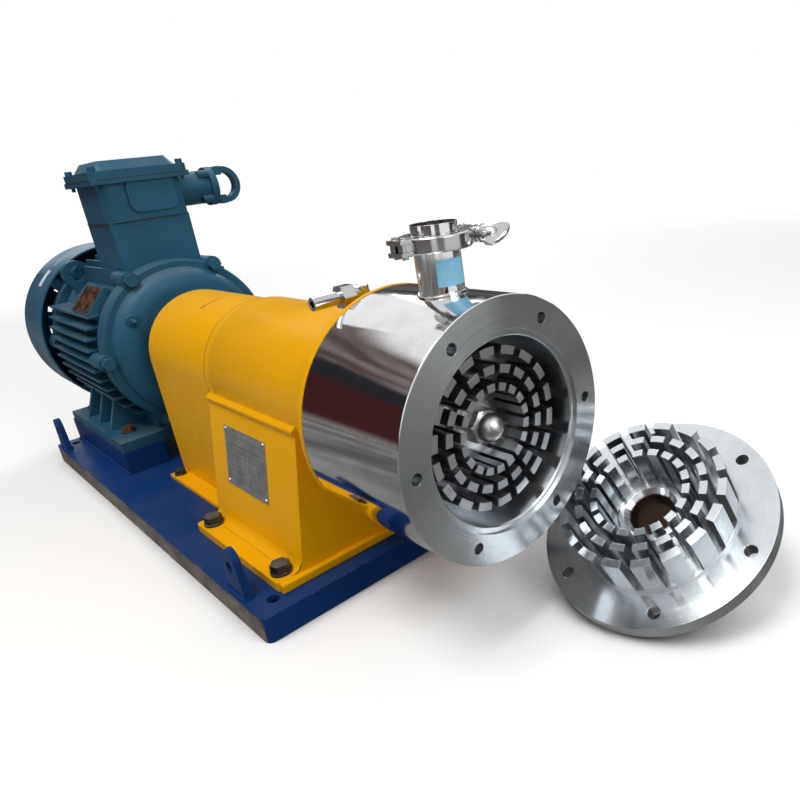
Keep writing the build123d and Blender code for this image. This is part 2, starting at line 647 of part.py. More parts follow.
with BuildPart() as outlet_pipe:
    bar_z(outlet_x, 0, zs + 95, zs + ferrule_face, tube_radius)
    ferrule(ferrule_face, -1)
    bar_z(outlet_x, 0, zs + 95, zs + ferrule_face, tube_bore, mode=Mode.SUBTRACT)
save(outlet_pipe, "outlet_pipe")

with BuildPart() as outlet_gasket:
    bar_z(outlet_x, 0, zs + ferrule_face, zs + ferrule_face + gasket, ferrule_radius)
    bar_z(outlet_x, 0, zs + ferrule_face, zs + ferrule_face + gasket, tube_bore, mode=Mode.SUBTRACT)
save(outlet_gasket, "outlet_gasket")

with BuildPart() as outlet_stub:
    bar_z(outlet_x, 0, zs + ferrule_face + gasket, zs + outlet_tip, tube_radius)
    ferrule(ferrule_face + gasket, 1)
    bar_z(outlet_x, 0, zs + ferrule_face + gasket, zs + outlet_tip, tube_bore, mode=Mode.SUBTRACT)
save(outlet_stub, "outlet_stub")

# Clamp around the ferrules: two halves, hinge at -Y, ears at +Y, swing bolt along +X.
clamp_mid = ferrule_face + gasket / 2
clamp_half = 6.2
clamp_outer = 29.5
split = 1.2
ear_y = 38.0
pivot_x = -9.0
bolt_radius = 4.0
slot_half = 4.3


def clamp_ring(side):
    with BuildSketch(Plane(origin=(outlet_x, 0, zs + clamp_mid), x_dir=(1, 0, 0), z_dir=(0, -1, 0)),
                     mode=Mode.PRIVATE) as half:
        with BuildLine():
            Polyline((ferrule_radius, -lip - gasket / 2), (21, -lip - gasket / 2 - 1.58),
                     (21, -clamp_half), (clamp_outer - 1, -clamp_half), (clamp_outer, -clamp_half + 1),
                     (clamp_outer, clamp_half - 1), (clamp_outer - 1, clamp_half), (21, clamp_half),
                     (21, lip + gasket / 2 + 1.58), (ferrule_radius, lip + gasket / 2), close=True)
        make_face()
    revolve(profiles=half.sketch, axis=Axis((outlet_x, 0, zs), (0, 0, 1)))
    block(outlet_x - 60 if side > 0 else outlet_x - split, outlet_x + split if side > 0 else outlet_x + 60,
          -60, 60, zs + clamp_mid - 20, zs + clamp_mid + 20, mode=Mode.SUBTRACT)


with BuildPart() as clamp_front_half:
    clamp_ring(1)
    # Ear with an open slot; its outer face falls back so the bolt can swing clear.
    with BuildSketch(Plane.XY.offset(zs + clamp_mid - clamp_half)):
        with BuildLine():
            Polyline((outlet_x + 5, 28), (outlet_x + 12, 25.5), (outlet_x + 13, 30), (outlet_x + 13, ear_y),
                     (outlet_x + 11.2, ear_y + 7), (outlet_x + 4, ear_y + 7), (outlet_x + 3, 32), close=True)
        make_face()
    extrude(amount=2 * clamp_half)
    block(outlet_x + 2, outlet_x + 16, ear_y - slot_half, ear_y + 12, zs + clamp_mid - slot_half,
          zs + clamp_mid + slot_half, mode=Mode.SUBTRACT)
    # Hinge ear between the link plates.
    block(outlet_x + 2, outlet_x + 8, -39, -28, zs + clamp_mid - 3, zs + clamp_mid + 3)
    bar_z(outlet_x + 5, -35.5, zs + clamp_mid - 3, zs + clamp_mid + 3, 2.6, mode=Mode.SUBTRACT)
save(clamp_front_half, "clamp_front_half")

with BuildPart() as clamp_rear_half:
    clamp_ring(-1)
    with BuildSketch(Plane.XY.offset(zs + clamp_mid - clamp_half)):
        with BuildLine():
            Polyline((outlet_x - 3, 28), (outlet_x - 3, ear_y + 5), (outlet_x - 15, ear_y + 5),
                     (outlet_x - 15, 30), (outlet_x - 12, 25.5), close=True)
        make_face()
    extrude(amount=2 * clamp_half)
    block(outlet_x - 20, outlet_x, ear_y - 8, ear_y + 12, zs + clamp_mid - slot_half, zs + clamp_mid + slot_half,
          mode=Mode.SUBTRACT)
    block(outlet_x - 8, outlet_x - 2, -39, -28, zs + clamp_mid - 3, zs + clamp_mid + 3)
    bar_z(outlet_x - 5, -35.5, zs + clamp_mid - 3, zs + clamp_mid + 3, 2.6, mode=Mode.SUBTRACT)
    bar_z(outlet_x + pivot_x, ear_y, zs + clamp_mid - clamp_half, zs + clamp_mid + clamp_half, 2.5,
          mode=Mode.SUBTRACT)
save(clamp_rear_half, "clamp_rear_half")

with BuildPart() as clamp_hinge:
    for z0, z1 in ((-6.4, -3), (3, 6.4)):
        block(outlet_x - 9, outlet_x + 9, -41, -30, zs + clamp_mid + z0, zs + clamp_mid + z1)
    for dx in (-5, 5):
        bar_z(outlet_x + dx, -35.5, zs + clamp_mid - 8.4, zs + clamp_mid + 8.4, 2.6)
save(clamp_hinge, "clamp_hinge")

with BuildPart() as clamp_pivot_pin:
    bar_z(outlet_x + pivot_x, ear_y, zs + clamp_mid - clamp_half - 1, zs + clamp_mid + clamp_half + 1, 2.5)
save(clamp_pivot_pin, "clamp_pivot_pin")

bolt_tip = outlet_x + 27.6
with BuildPart() as swing_bolt:
    bar_z(outlet_x + pivot_x, ear_y, zs + clamp_mid - slot_half + clear, zs + clamp_mid + slot_half - clear, 5.2)
    bar_x(outlet_x + pivot_x + 3, bolt_tip, bolt_radius - 0.2, ear_y, clamp_mid)
    bar_z(outlet_x + pivot_x, ear_y, zs + clamp_mid - 6, zs + clamp_mid + 6, 2.5 + run_gap, mode=Mode.SUBTRACT)
save(swing_bolt, "swing_bolt")

nut_face = outlet_x + 13.0 + clear
with BuildPart() as clamp_washer:
    bar_x(nut_face, nut_face + 1.6, 7.4, ear_y, clamp_mid)
    bar_x(nut_face, nut_face + 1.6, bolt_radius - 0.2 + run_gap, ear_y, clamp_mid, mode=Mode.SUBTRACT)
save(clamp_washer, "clamp_washer")

# Wing nut: round body whose two wings are cast as one oval paddle; the bolt ends inside.
wing_start = nut_face + 1.6 + run_gap
with BuildPart() as wing_nut:
    bar_x(wing_start, wing_start + 15, 6.8, ear_y, clamp_mid)
    wing_plane = Plane(origin=(wing_start, ear_y, zs + clamp_mid), x_dir=(1, 0, 0), z_dir=(0, -0.985, 0.17))
    with BuildSketch(wing_plane.offset(-2.1)):
        with Locations((15.5, 0)):
            Ellipse(13, 11)
    extrude(amount=4.2)
    bar_x(wing_start - 1, wing_start + 14, bolt_radius - 0.2 + run_gap, ear_y, clamp_mid, mode=Mode.SUBTRACT)
save(wing_nut, "wing_nut")

# Flush fitting on top of the flare: elbow body, hex nut and a plain nipple.
with BuildPart() as flush_fitting:
    bar_z(flush_x, flush_y, zs + flush_seat, zs + flush_z + 6, 8)
    bar_y(flush_x, -32, -10, zs + flush_z, 7)
    with BuildSketch(Plane(origin=(flush_x, -26, zs + flush_z), x_dir=(1, 0, 0), z_dir=(0, -1, 0))):
        RegularPolygon(19 / sqrt(3), 6)
    extrude(amount=13)
    bar_y(flush_x, -40, -12, zs + flush_z, 4.2, mode=Mode.SUBTRACT)
save(flush_fitting, "flush_fitting")

with BuildPart() as flush_nipple:
    bar_y(flush_x, -66, -39, zs + flush_z, 6)
    bar_y(flush_x, -39, -28, zs + flush_z, 4.2)
    bar_y(flush_x, -66, -28, zs + flush_z, 3.4, mode=Mode.SUBTRACT)
save(flush_nipple, "flush_nipple")

# Shaft train: pump shaft with rotor and nut, motor shaft with rotor and fan, joined by the coupling.
motor_end = casing_front - 551.0
jaw = 18.0
jaw_x0 = motor_end
jaw_x1 = jaw_x0 + jaw
coupling_end = jaw_x1
nut_seat = casing_front - 44.0
rotor_back = casing_front - rotor_tip_depth - rotor_tooth_length - 16.0
rotor_bore = 14.0
with BuildPart() as pump_shaft:
    turned(((coupling_end, 0), (coupling_end, 16), (seam - 12, 16), (seam - 12, journal),
            (bearing_a + bearing_width, journal), (bearing_a + bearing_width, 24), (bearing_b, 24),
            (bearing_b, journal), (bearing_b + bearing_width + 16, journal),
            (bearing_b + bearing_width + 16, seal_shaft), (rotor_back, seal_shaft), (rotor_back, rotor_bore),
            (nut_seat, rotor_bore), (nut_seat, 11), (nut_seat + 12, 11), (nut_seat + 12, 0)))
    block(rotor_back + 1, rotor_back + 15, -3, 3, zs + rotor_bore - 3, zs + rotor_bore + 2, mode=Mode.SUBTRACT)
save(pump_shaft, "pump_shaft")

with BuildPart() as pump_bearing_inners:
    for x in (bearing_a, bearing_b):
        turned(((x, journal), (x + bearing_width, journal), (x + bearing_width, inner_ring), (x, inner_ring)))
save(pump_bearing_inners, "pump_bearing_inners")

# Ring radii: the rotor's rings sit in the spaces between the stator's rings.
stator_rings = ((40.3, 47.2), (55.8, 62.7), (71.3, 79.1))
rotor_rings = ((33.0, stator_rings[0][0] - ring_gap), (stator_rings[0][1] + ring_gap, stator_rings[1][0] - ring_gap),
               (stator_rings[1][1] + ring_gap, stator_rings[2][0] - ring_gap))


def slot_wedges(radius, phase):
    # One wedge for each slot, widening outwards, so every tooth keeps the same angle.
    half = radians((360.0 / tooth_count - tooth_angle) / 2)
    with PolarLocations(0, tooth_count, start_angle=phase):
        Polygon((6, -6 * tan(half)), (radius, -radius * tan(half)), (radius, radius * tan(half)),
                (6, 6 * tan(half)), align=None, mode=Mode.SUBTRACT)


tooth_root = casing_front - rotor_tip_depth - rotor_tooth_length
with BuildPart() as rotor:
    with BuildSketch(across(tooth_root)):
        for inner, outer in reversed(rotor_rings):
            Circle(outer)
            Circle(inner, mode=Mode.SUBTRACT)
        slot_wedges(90, 90 + 180 / tooth_count)
    extrude(amount=rotor_tooth_length)
    bar_x(rotor_back, tooth_root, rotor_rings[2][1])
    bar_x(tooth_root, nut_seat, 23)
    bar_x(rotor_back, nut_seat, rotor_bore, mode=Mode.SUBTRACT)
    block(rotor_back, nut_seat, -3, 3, zs + rotor_bore - 3, zs + rotor_bore + 2, mode=Mode.SUBTRACT)
save(rotor, "rotor")

with BuildPart() as rotor_key:
    block(rotor_back + 1, rotor_back + 15, -3, 3, zs + rotor_bore - 3, zs + rotor_bore + 2)
save(rotor_key, "rotor_key")

# Domed nut that holds the rotor on the shaft.
nut_flats = 34.0
dome_radius = 13.3
with BuildPart() as rotor_nut:
    with BuildSketch(axial):
        with BuildLine():
            Polyline((nut_seat, 11), (nut_seat, 19), (nut_seat + 2.5, 19), (nut_seat + 2.5, dome_radius),
                     (nut_seat + 19, dome_radius))
            CenterArc((nut_seat + 19, 0), dome_radius, 0, 90)
            Polyline((nut_seat + 19 + dome_radius, 0), (nut_seat + 12.5, 0), (nut_seat + 12.5, 11), (nut_seat, 11))
        make_face()
    revolve(axis=shaft_axis)
    with BuildSketch(across(nut_seat + 2.5)):
        RegularPolygon(nut_flats / sqrt(3), 6, rotation=12)
        Circle(12, mode=Mode.SUBTRACT)
    extrude(amount=11)
save(rotor_nut, "rotor_nut")

with BuildPart() as seal_rotary:
    turned(((chamber_back + 2, seal_shaft), (chamber_back + 2, 27), (chamber_back - 10, 27),
            (chamber_back - 10, 23), (wall_back + clear, 23), (wall_back + clear, seal_shaft)))
save(seal_rotary, "seal_rotary")

with BuildPart() as motor_shaft:
    turned(((motor_end, 0), (motor_end, motor_shaft_radius), (shield_front - 4, motor_shaft_radius),
            (shield_front - 4, journal), (shield_front - 27, journal), (shield_front - 27, 24),
            (rear_face + 19, 24), (rear_face + 19, journal), (rear_face - 4, journal),
            (rear_face - 4, motor_shaft_radius), (rear_face - 52, motor_shaft_radius), (rear_face - 52, 0)))
save(motor_shaft, "motor_shaft")

with BuildPart() as motor_rotor:
    turned(((stack_x0, 24), (stack_x1, 24), (stack_x1, stator_bore - 0.5), (stack_x0, stator_bore - 0.5)))
    for a, b in ((stack_x0 - 9, stack_x0), (stack_x1, stack_x1 + 9)):
        turned(((a, 40), (b, 40), (b, stator_bore - 3), (a, stator_bore - 3)))
save(motor_rotor, "motor_rotor")

with BuildPart() as motor_bearing_inners:
    for a, b in ((shield_front - 4, shield_front - 27), (rear_face - 4, rear_face + 19)):
        turned(((a, journal), (b, journal), (b, inner_ring), (a, inner_ring)))
save(motor_bearing_inners, "motor_bearing_inners")

fan_x = rear_face - 22.0
fan_blades = 7
with BuildPart() as cooling_fan:
    bar_x(fan_x - 28, fan_x, 30)
    bar_x(fan_x - 4, fan_x, 86)
    for k in range(fan_blades):
        angle = 360.0 * k / fan_blades
        with BuildSketch(Plane(origin=(fan_x - 28, 0, zs), x_dir=(0, cos(radians(angle)), sin(radians(angle))),
                               z_dir=(1, 0, 0))):
            with Locations((67, 0)):
                Rectangle(84, 3)
        extrude(amount=26)
    bar_x(fan_x - 30, fan_x + 2, motor_shaft_radius, mode=Mode.SUBTRACT)
save(cooling_fan, "cooling_fan")

# Jaw coupling: two hubs with three jaws each and a six-lobed spider between them.
hub_radius = 42.0


def jaws(x0, x1, phase):
    with BuildSketch(across(x0), mode=Mode.PRIVATE) as claws:
        Circle(hub_radius)
        Circle(17, mode=Mode.SUBTRACT)
        with PolarLocations(0, 3, start_angle=phase):
            Polygon((0, 0), (90, -90 * tan(radians(40))), (160, 0), (90, 90 * tan(radians(40))), align=None,
                    mode=Mode.SUBTRACT)
    extrude(to_extrude=claws.sketch, amount=x1 - x0)


with BuildPart() as motor_hub:
    bar_x(jaw_x0 - 40, jaw_x0, 36)
    bar_x(jaw_x0 - 12, jaw_x0, hub_radius)
    jaws(jaw_x0, jaw_x1 - 2, 0)
    bar_x(jaw_x0 - 42, jaw_x0, motor_shaft_radius, mode=Mode.SUBTRACT)
save(motor_hub, "motor_hub")

with BuildPart() as pump_hub:
    bar_x(jaw_x1, jaw_x1 + 40, 36)
    bar_x(jaw_x1, jaw_x1 + 12, hub_radius)
    jaws(jaw_x0 + 2, jaw_x1, 60)
    bar_x(jaw_x1, jaw_x1 + 42, 16, mode=Mode.SUBTRACT)
save(pump_hub, "pump_hub")

with BuildPart() as coupling_spider:
    with BuildSketch(across(jaw_x0 + 2)):
        Circle(hub_radius - 1)
        with PolarLocations(0, 6):
            Polygon((0, 0), (90, -90 * tan(radians(20))), (90, 90 * tan(radians(20))), align=None,
                    mode=Mode.SUBTRACT)
        Circle(16.5)
        Circle(8, mode=Mode.SUBTRACT)
    extrude(amount=jaw - 4)
save(coupling_spider, "coupling_spider")

# Stator cover lying tilted on the floor: its flange edge and its inlet ferrule carry it.
tilt = radians(cover_tilt)
yaw = radians(cover_yaw)
cover_z = casing_radius * sin(tilt) + cover_thickness * cos(tilt)
inlet_length = (cover_z - inlet_ferrule * sin(tilt)) / cos(tilt)
cover_plane = Plane(origin=(cover_x, cover_y, cover_z), x_dir=(cos(yaw), sin(yaw), 0),
                    z_dir=(sin(yaw) * sin(tilt), -cos(yaw) * sin(tilt), cos(tilt)))
throat = 21.4
stator_phase = 3.3
with BuildPart() as stator_cover:
    with BuildSketch(cover_plane.offset(-cover_thickness)):
        Circle(casing_radius)
    extrude(amount=cover_thickness)
    with BuildSketch(cover_plane):
        Circle(79.6)
    extrude(amount=4.5)
    with BuildSketch(cover_plane.offset(4.5)):
        for inner, outer in reversed(stator_rings):
            Circle(outer)
            Circle(inner, mode=Mode.SUBTRACT)
        slot_wedges(100, stator_phase + 180 / tooth_count)
    extrude(amount=stator_tooth_height - 4.5)
    # Throat boss with a rounded rim and a funnel in the middle of the pocket.
    with BuildSketch(cover_plane.offset(4.5)):
        Circle(33)
    extrude(amount=6)
    fillet(stator_cover.edges().filter_by(GeomType.CIRCLE).filter_by(
        lambda e: abs(e.radius - 33) < 0.01).sort_by(Axis(cover_plane.origin, cover_plane.z_dir))[-1:], 2.5)
    with BuildSketch(cover_plane.offset(-cover_thickness)):
        Circle(throat)
    extrude(amount=cover_thickness + 12, mode=Mode.SUBTRACT)
    with Locations(cover_plane.offset(8).location):
        Cone(throat, 26.5, 5, mode=Mode.SUBTRACT)
    with BuildSketch(cover_plane.offset(-cover_thickness)):
        Circle(inlet_radius)
    extrude(amount=4, mode=Mode.SUBTRACT)
    with BuildSketch(cover_plane.offset(-cover_thickness)):
        with PolarLocations(bolt_circle, cover_holes, start_angle=1):
            Circle(6.0)
    extrude(amount=cover_thickness, mode=Mode.SUBTRACT)
save(stator_cover, "stator_cover")

with BuildPart() as inlet_pipe:
    with BuildSketch(cover_plane.offset(-inlet_length)):
        Circle(inlet_radius)
    extrude(amount=inlet_length - cover_thickness + 4)
    with BuildSketch(cover_plane.offset(-inlet_length)):
        Circle(inlet_ferrule)
    extrude(amount=lip)
    with BuildSketch(cover_plane.offset(-inlet_length + lip)):
        Circle(inlet_ferrule)
    extrude(amount=2.2, taper=68)
    with BuildSketch(cover_plane.offset(-inlet_length - 1)):
        Circle(inlet_bore)
    extrude(amount=inlet_length + 1 - cover_thickness + 4, mode=Mode.SUBTRACT)
save(inlet_pipe, "inlet_pipe")
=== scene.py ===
import json
import bmesh
import bpy
import numpy as np
from mathutils import Matrix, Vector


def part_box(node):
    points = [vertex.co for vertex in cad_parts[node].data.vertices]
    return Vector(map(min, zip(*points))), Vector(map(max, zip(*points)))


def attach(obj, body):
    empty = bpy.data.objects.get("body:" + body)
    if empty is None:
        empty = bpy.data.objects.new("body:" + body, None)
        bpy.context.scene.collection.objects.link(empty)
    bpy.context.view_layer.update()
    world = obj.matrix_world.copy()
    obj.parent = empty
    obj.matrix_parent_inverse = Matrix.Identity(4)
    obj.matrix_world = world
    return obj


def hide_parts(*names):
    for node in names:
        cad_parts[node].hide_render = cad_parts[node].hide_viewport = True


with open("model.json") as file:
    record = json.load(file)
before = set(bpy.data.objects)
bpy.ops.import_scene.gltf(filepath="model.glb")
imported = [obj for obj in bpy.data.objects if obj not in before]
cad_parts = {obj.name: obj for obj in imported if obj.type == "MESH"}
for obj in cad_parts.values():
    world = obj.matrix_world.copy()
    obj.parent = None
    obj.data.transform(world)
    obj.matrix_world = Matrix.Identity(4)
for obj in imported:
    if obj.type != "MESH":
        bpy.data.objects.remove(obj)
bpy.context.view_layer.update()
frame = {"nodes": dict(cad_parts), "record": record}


# Camera: stands at the pump's open end on the nameplate side, a little above the
# shaft. Its place, tilt and lens were fitted to the casing's two rims, the bolt
# holes, the cowl and the base plate's corners.
eye = (0.9303, -0.3511, 0.4132)
turn, lift, roll = np.radians((48.0245, 21.855, -6.935))
backward = np.array((np.sin(turn) * np.cos(lift), -np.cos(turn) * np.cos(lift), np.sin(lift)))
sideways = np.cross((0, 0, 1), backward)
sideways /= np.linalg.norm(sideways)
upward = np.cross(backward, sideways)
placed = np.eye(4)
placed[:3, 0] = np.cos(roll) * sideways + np.sin(roll) * upward
placed[:3, 1] = -np.sin(roll) * sideways + np.cos(roll) * upward
placed[:3, 2] = backward
placed[:3, 3] = eye
camera = bpy.data.objects.new("camera", bpy.data.cameras.new("camera"))
camera.matrix_world = Matrix(placed.tolist())
camera.data.lens = 30.60
camera.data.shift_x = -0.1171
camera.data.shift_y = 0.0257
camera.data.clip_start = 0.01
bpy.context.scene.collection.objects.link(camera)
bpy.context.scene.camera = camera
bpy.context.scene.view_settings.view_transform = "Standard"


# Studio: a pale floor disc, a white world, three soft lamps, and dark boards and a dull
# ground that only polished metal sees, as a photographer stands them round chrome. The
# floor fades to pure white far from the pump, and has painted shade round and under it.
def feed(tree, node, **values):
    """A node's inputs by name, or as i0, i1 by place: a socket is linked, anything else is set."""
    for key, value in values.items():
        by_place = key[0] == "i" and key[1:].isdigit()
        socket = node.inputs[int(key[1:]) if by_place else key.replace("_", " ")]
        if isinstance(value, bpy.types.NodeSocket):
            tree.links.new(value, socket)
        else:
            socket.default_value = value


def add(tree, kind, **values):
    """One new shader node with its settings and its inputs."""
    node = tree.nodes.new(kind)
    for key in ("operation", "data_type", "node_tree", "interpolation_type", "samples"):
        if key in values:
            setattr(node, key, values.pop(key))
    feed(tree, node, **values)
    return node


def here(tree):
    """The place on the piece, in metres."""
    return add(tree, "ShaderNodeTexCoord").outputs["Object"]


def calc(tree, operation, a, b=0.0):
    """The result of one Math node."""
    return add(tree, "ShaderNodeMath", operation=operation, i0=a, i1=b).outputs[0]


def vector(tree, operation, a, b=None, out=0, **values):
    """The result of one Vector Math node."""
    if b is not None:
        values["i1"] = b
    return add(tree, "ShaderNodeVectorMath", operation=operation, i0=a, **values).outputs[out]


def noise(tree, place, scale, detail, grain=0.5):
    """A noise over a place. Three scales, one for each axis, draw it out into lines."""
    if isinstance(scale, tuple):
        place = add(tree, "ShaderNodeMapping", Vector=place, Scale=scale).outputs[0]
        scale = 1.0
    made = add(tree, "ShaderNodeTexNoise", Vector=place, Scale=scale, Detail=detail, Roughness=grain)
    return made.outputs[0]


def span(tree, value, low, high, out_low=0.0, out_high=1.0):
    """A value's range low..high spread smoothly over out_low..out_high."""
    return add(tree, "ShaderNodeMapRange", interpolation_type="SMOOTHSTEP", i0=value, i1=low, i2=high,
               i3=out_low, i4=out_high).outputs[0]


def blend(tree, share, a, b):
    """Colour a turned into colour b by share, from 0 to 1."""
    a, b = (c if isinstance(c, bpy.types.NodeSocket) else (*c, 1.0) for c in (a, b))
    return add(tree, "ShaderNodeMix", data_type="RGBA", i0=share, i6=a, i7=b).outputs[2]


def finish(name):
    """A new material with an empty node tree, its output and its Principled shader."""
    material = bpy.data.materials.new(name)
    material.use_nodes = True
    tree = material.node_tree
    tree.nodes.clear()
    shader = tree.nodes.new("ShaderNodeBsdfPrincipled")
    out = tree.nodes.new("ShaderNodeOutputMaterial")
    tree.links.new(shader.outputs[0], out.inputs[0])
    return material, tree, shader, out


def skins(name, grids, material, loop_u=False, loop_v=False):
    """Quad skins over grids of points P(u, v): rows run along u, columns along v.

    loop_u and loop_v join the last row or column to the first.
    """
    points, quads, start = [], [], 0
    for grid in grids:
        nu, nv = grid.shape[:2]
        u = np.arange(nu if loop_u else nu - 1)
        v = np.arange(nv if loop_v else nv - 1)
        a, b = np.meshgrid(u, v, indexing="ij")
        c, d = (a + 1) % nu, (b + 1) % nv
        quad = np.stack((a * nv + b, c * nv + b, c * nv + d, a * nv + d), -1)
        quads.append(start + quad.reshape(-1, 4))
        points.append(grid.reshape(-1, 3))
        start += nu * nv
    mesh = bpy.data.meshes.new(name)
    mesh.from_pydata(np.concatenate(points).tolist(), [], np.concatenate(quads).tolist())
    work = bmesh.new()
    work.from_mesh(mesh)
    bmesh.ops.remove_doubles(work, verts=work.verts, dist=1e-7)
    bmesh.ops.recalc_face_normals(work, faces=work.faces)
    work.to_mesh(mesh)
    work.free()
    mesh.shade_smooth()
    mesh.materials.append(material)
    made = bpy.data.objects.new(name, mesh)
    bpy.context.scene.collection.objects.link(made)
    return made


def looked_at(tree):
    """1 for rays that look, straight or through a reflection, and 0 for rays that gather light."""
    path = add(tree, "ShaderNodeLightPath").outputs
    mirrored = calc(tree, "MAXIMUM", path["Is Glossy Ray"], path["Is Transmission Ray"])
    return calc(tree, "MAXIMUM", path["Is Camera Ray"], mirrored)


def open_sky(tree, distance, samples=8):
    """1 in the open, falling to 0 in a hollow narrower than distance."""
    return add(tree, "ShaderNodeAmbientOcclusion", samples=samples, Distance=distance).outputs["AO"]


floor_paint, tree, shader, out = finish("floor_paint")
seen = looked_at(tree)
haze = calc(tree, "MULTIPLY", seen, span(tree, vector(tree, "LENGTH", here(tree), out="Value"), 1.1, 3.2))
tint = blend(tree, seen, (0.34, 0.34, 0.35), (0.97, 0.97, 0.97))
# Painted shade: the floor's colour darkens where parts of the pump close round it, and turns near black brown
# in deep hollows, such as inside the inlet tube.
tint = blend(tree, span(tree, open_sky(tree, 0.07), 0.05, 0.75), (0.06, 0.052, 0.048), tint)
tint = blend(tree, span(tree, open_sky(tree, 0.30), 0.02, 0.30), (0.030, 0.020, 0.015), tint)
feed(tree, shader, Base_Color=blend(tree, haze, tint, (0.0, 0.0, 0.0)), Roughness=0.9, Specular_IOR_Level=0.1,
     Emission_Color=blend(tree, haze, (0.0, 0.0, 0.0), (1.0, 1.0, 1.0)), Emission_Strength=1.0)
floor_radius, floor_depth = 4.5, 0.0004
ring, way = np.meshgrid(np.linspace(0, floor_radius, 24), np.linspace(0, 2 * np.pi, 96, endpoint=False),
                        indexing="ij")
disc = np.stack((ring * np.cos(way), ring * np.sin(way), 0 * ring - floor_depth), -1)
floor = skins("floor", [disc], floor_paint, loop_v=True)

world = bpy.data.worlds.new("world")
bpy.context.scene.world = world
world.use_nodes = True
tree = world.node_tree
tree.nodes.clear()
dim, bright = 0.44, 1.0
level = calc(tree, "ADD", calc(tree, "MULTIPLY", looked_at(tree), bright - dim), dim)
sky = add(tree, "ShaderNodeBackground", Color=(1.0, 1.0, 1.0, 1.0), Strength=level)
out = tree.nodes.new("ShaderNodeOutputWorld")
tree.links.new(sky.outputs[0], out.inputs[0])


def lamp(name, place, target, width, power, colour):
    """A square soft lamp at place that faces target."""
    light = bpy.data.lights.new(name, "AREA")
    light.shape = "SQUARE"
    light.size = width
    light.energy = power
    light.color = colour
    holder = bpy.data.objects.new(name, light)
    away = np.array(place, float) - np.array(target, float)
    away /= np.linalg.norm(away)
    flat = np.cross((0, 0, 1), away)
    flat /= np.linalg.norm(flat)
    pose = np.eye(4)
    pose[:3, 0], pose[:3, 1], pose[:3, 2], pose[:3, 3] = flat, np.cross(away, flat), away, place
    holder.matrix_world = Matrix(pose.tolist())
    bpy.context.scene.collection.objects.link(holder)


lamp("key", place=(0.4, -1.1, 2.9), target=(0.1, 0.0, 0.2), width=1.3, power=50.0, colour=(1.0, 0.98, 0.95))
lamp("side", place=(2.6, 0.2, 1.6), target=(0.4, 0.0, 0.2), width=1.2, power=24.0, colour=(0.95, 0.98, 1.0))
lamp("rear", place=(-1.8, 2.0, 1.9), target=(0.0, 0.0, 0.2), width=1.4, power=26.0, colour=(0.97, 0.98, 1.0))


def glowing(tree, out, colour):
    """The material only gives off this colour and takes no light."""
    glow = add(tree, "ShaderNodeEmission", Color=colour, Strength=1.0)
    tree.links.new(glow.outputs[0], out.inputs[0])


# The boards' paints: at the front and sides grey at the foot, then dark red, black,
# planks and white, and at the back planks alone.
plank_scale = (0.9, 0.9, 7.0)
card_paint, tree, shader, out = finish("card_paint")
spot = here(tree)
planks = noise(tree, spot, plank_scale, 4.0)
height = add(tree, "ShaderNodeSeparateXYZ", Vector=spot).outputs["Z"]
height = calc(tree, "ADD", height, calc(tree, "MULTIPLY", noise(tree, spot, 1.4, 3.0), 0.22))
wall = blend(tree, span(tree, planks, 0.40, 0.60), (0.085, 0.060, 0.056), (0.22, 0.185, 0.180))
shade = (0.22, 0.21, 0.20)
for low, high, above in ((0.10, 0.30, (0.055, 0.016, 0.017)), (1.12, 1.22, (0.022, 0.023, 0.027)),
                         (1.46, 1.56, wall), (2.16, 2.42, (1.0, 1.0, 1.0))):
    shade = blend(tree, span(tree, height, low, high), shade, above)
glowing(tree, out, shade)
back_paint, tree, shader, out = finish("back_paint")
planks = noise(tree, here(tree), plank_scale, 4.0)
glowing(tree, out, blend(tree, span(tree, planks, 0.38, 0.62), (0.030, 0.030, 0.034), (0.120, 0.118, 0.122)))
ground_paint, tree, shader, out = finish("ground_paint")
patchy = noise(tree, here(tree), 2.6, 7.0, 0.6)
glowing(tree, out, blend(tree, span(tree, patchy, 0.34, 0.66), (0.105, 0.100, 0.095), (0.29, 0.285, 0.275)))

# Each board runs between two bearings round the studio's middle, from its near to
# its far radius, and rises to its height. The last one is the ground.
middle_x, card_foot = 0.35, 0.0006
boards = ((180, 241, 2.5, 2.5, 2.34, card_paint), (38, 92, 2.5, 2.5, 1.50, back_paint),
          (-34, -12, 2.8, 2.8, 1.30, card_paint), (98, 166, 2.5, 2.5, 1.30, back_paint),
          (-100, -50, 2.6, 2.6, 1.20, card_paint), (-180, 180, 0.001, 2.5, 0.0, ground_paint))
for k, (first, last, near, far, tall, paint) in enumerate(boards):
    way, share = np.meshgrid(np.radians(np.linspace(first, last, 40)), np.linspace(0, 1, 12), indexing="ij")
    reach = near + (far - near) * share
    grid = np.stack((middle_x + reach * np.cos(way), reach * np.sin(way), card_foot + tall * share), -1)
    card = skins("card_%d" % k, [grid], paint)
    for ray in ("camera", "diffuse", "shadow", "transmission"):
        setattr(card, "visible_" + ray, False)


# Base: folded plate with ribs, lifting plates and motor bars, welded and sprayed
# dark blue. The side face along the nameplate side is coloured grey brown with lighter
# streaks, up to a ragged line. Fillet welds join the plates and bars to the top.
behaviour = frame["record"]["behaviour"]
home = {node: body for body, nodes in behaviour["bodies"].items() for node in nodes}


def group(name, inputs, outputs):
    """An empty shader node group with named sockets; returns it with its input and output nodes."""
    made = bpy.data.node_groups.new(name, "ShaderNodeTree")
    for label, kind, value in inputs:
        made.interface.new_socket(label, in_out="INPUT", socket_type=kind).default_value = value
    for label, kind in outputs:
        made.interface.new_socket(label, in_out="OUTPUT", socket_type=kind)
    return made, made.nodes.new("NodeGroupInput"), made.nodes.new("NodeGroupOutput")


def rounded(tree, radius):
    """The normal with the edges rounded by radius."""
    return add(tree, "ShaderNodeBevel", samples=4, Radius=radius).outputs[0]


def facing(tree):
    """The flat normal of the face."""
    return add(tree, "ShaderNodeNewGeometry").outputs["Normal"]


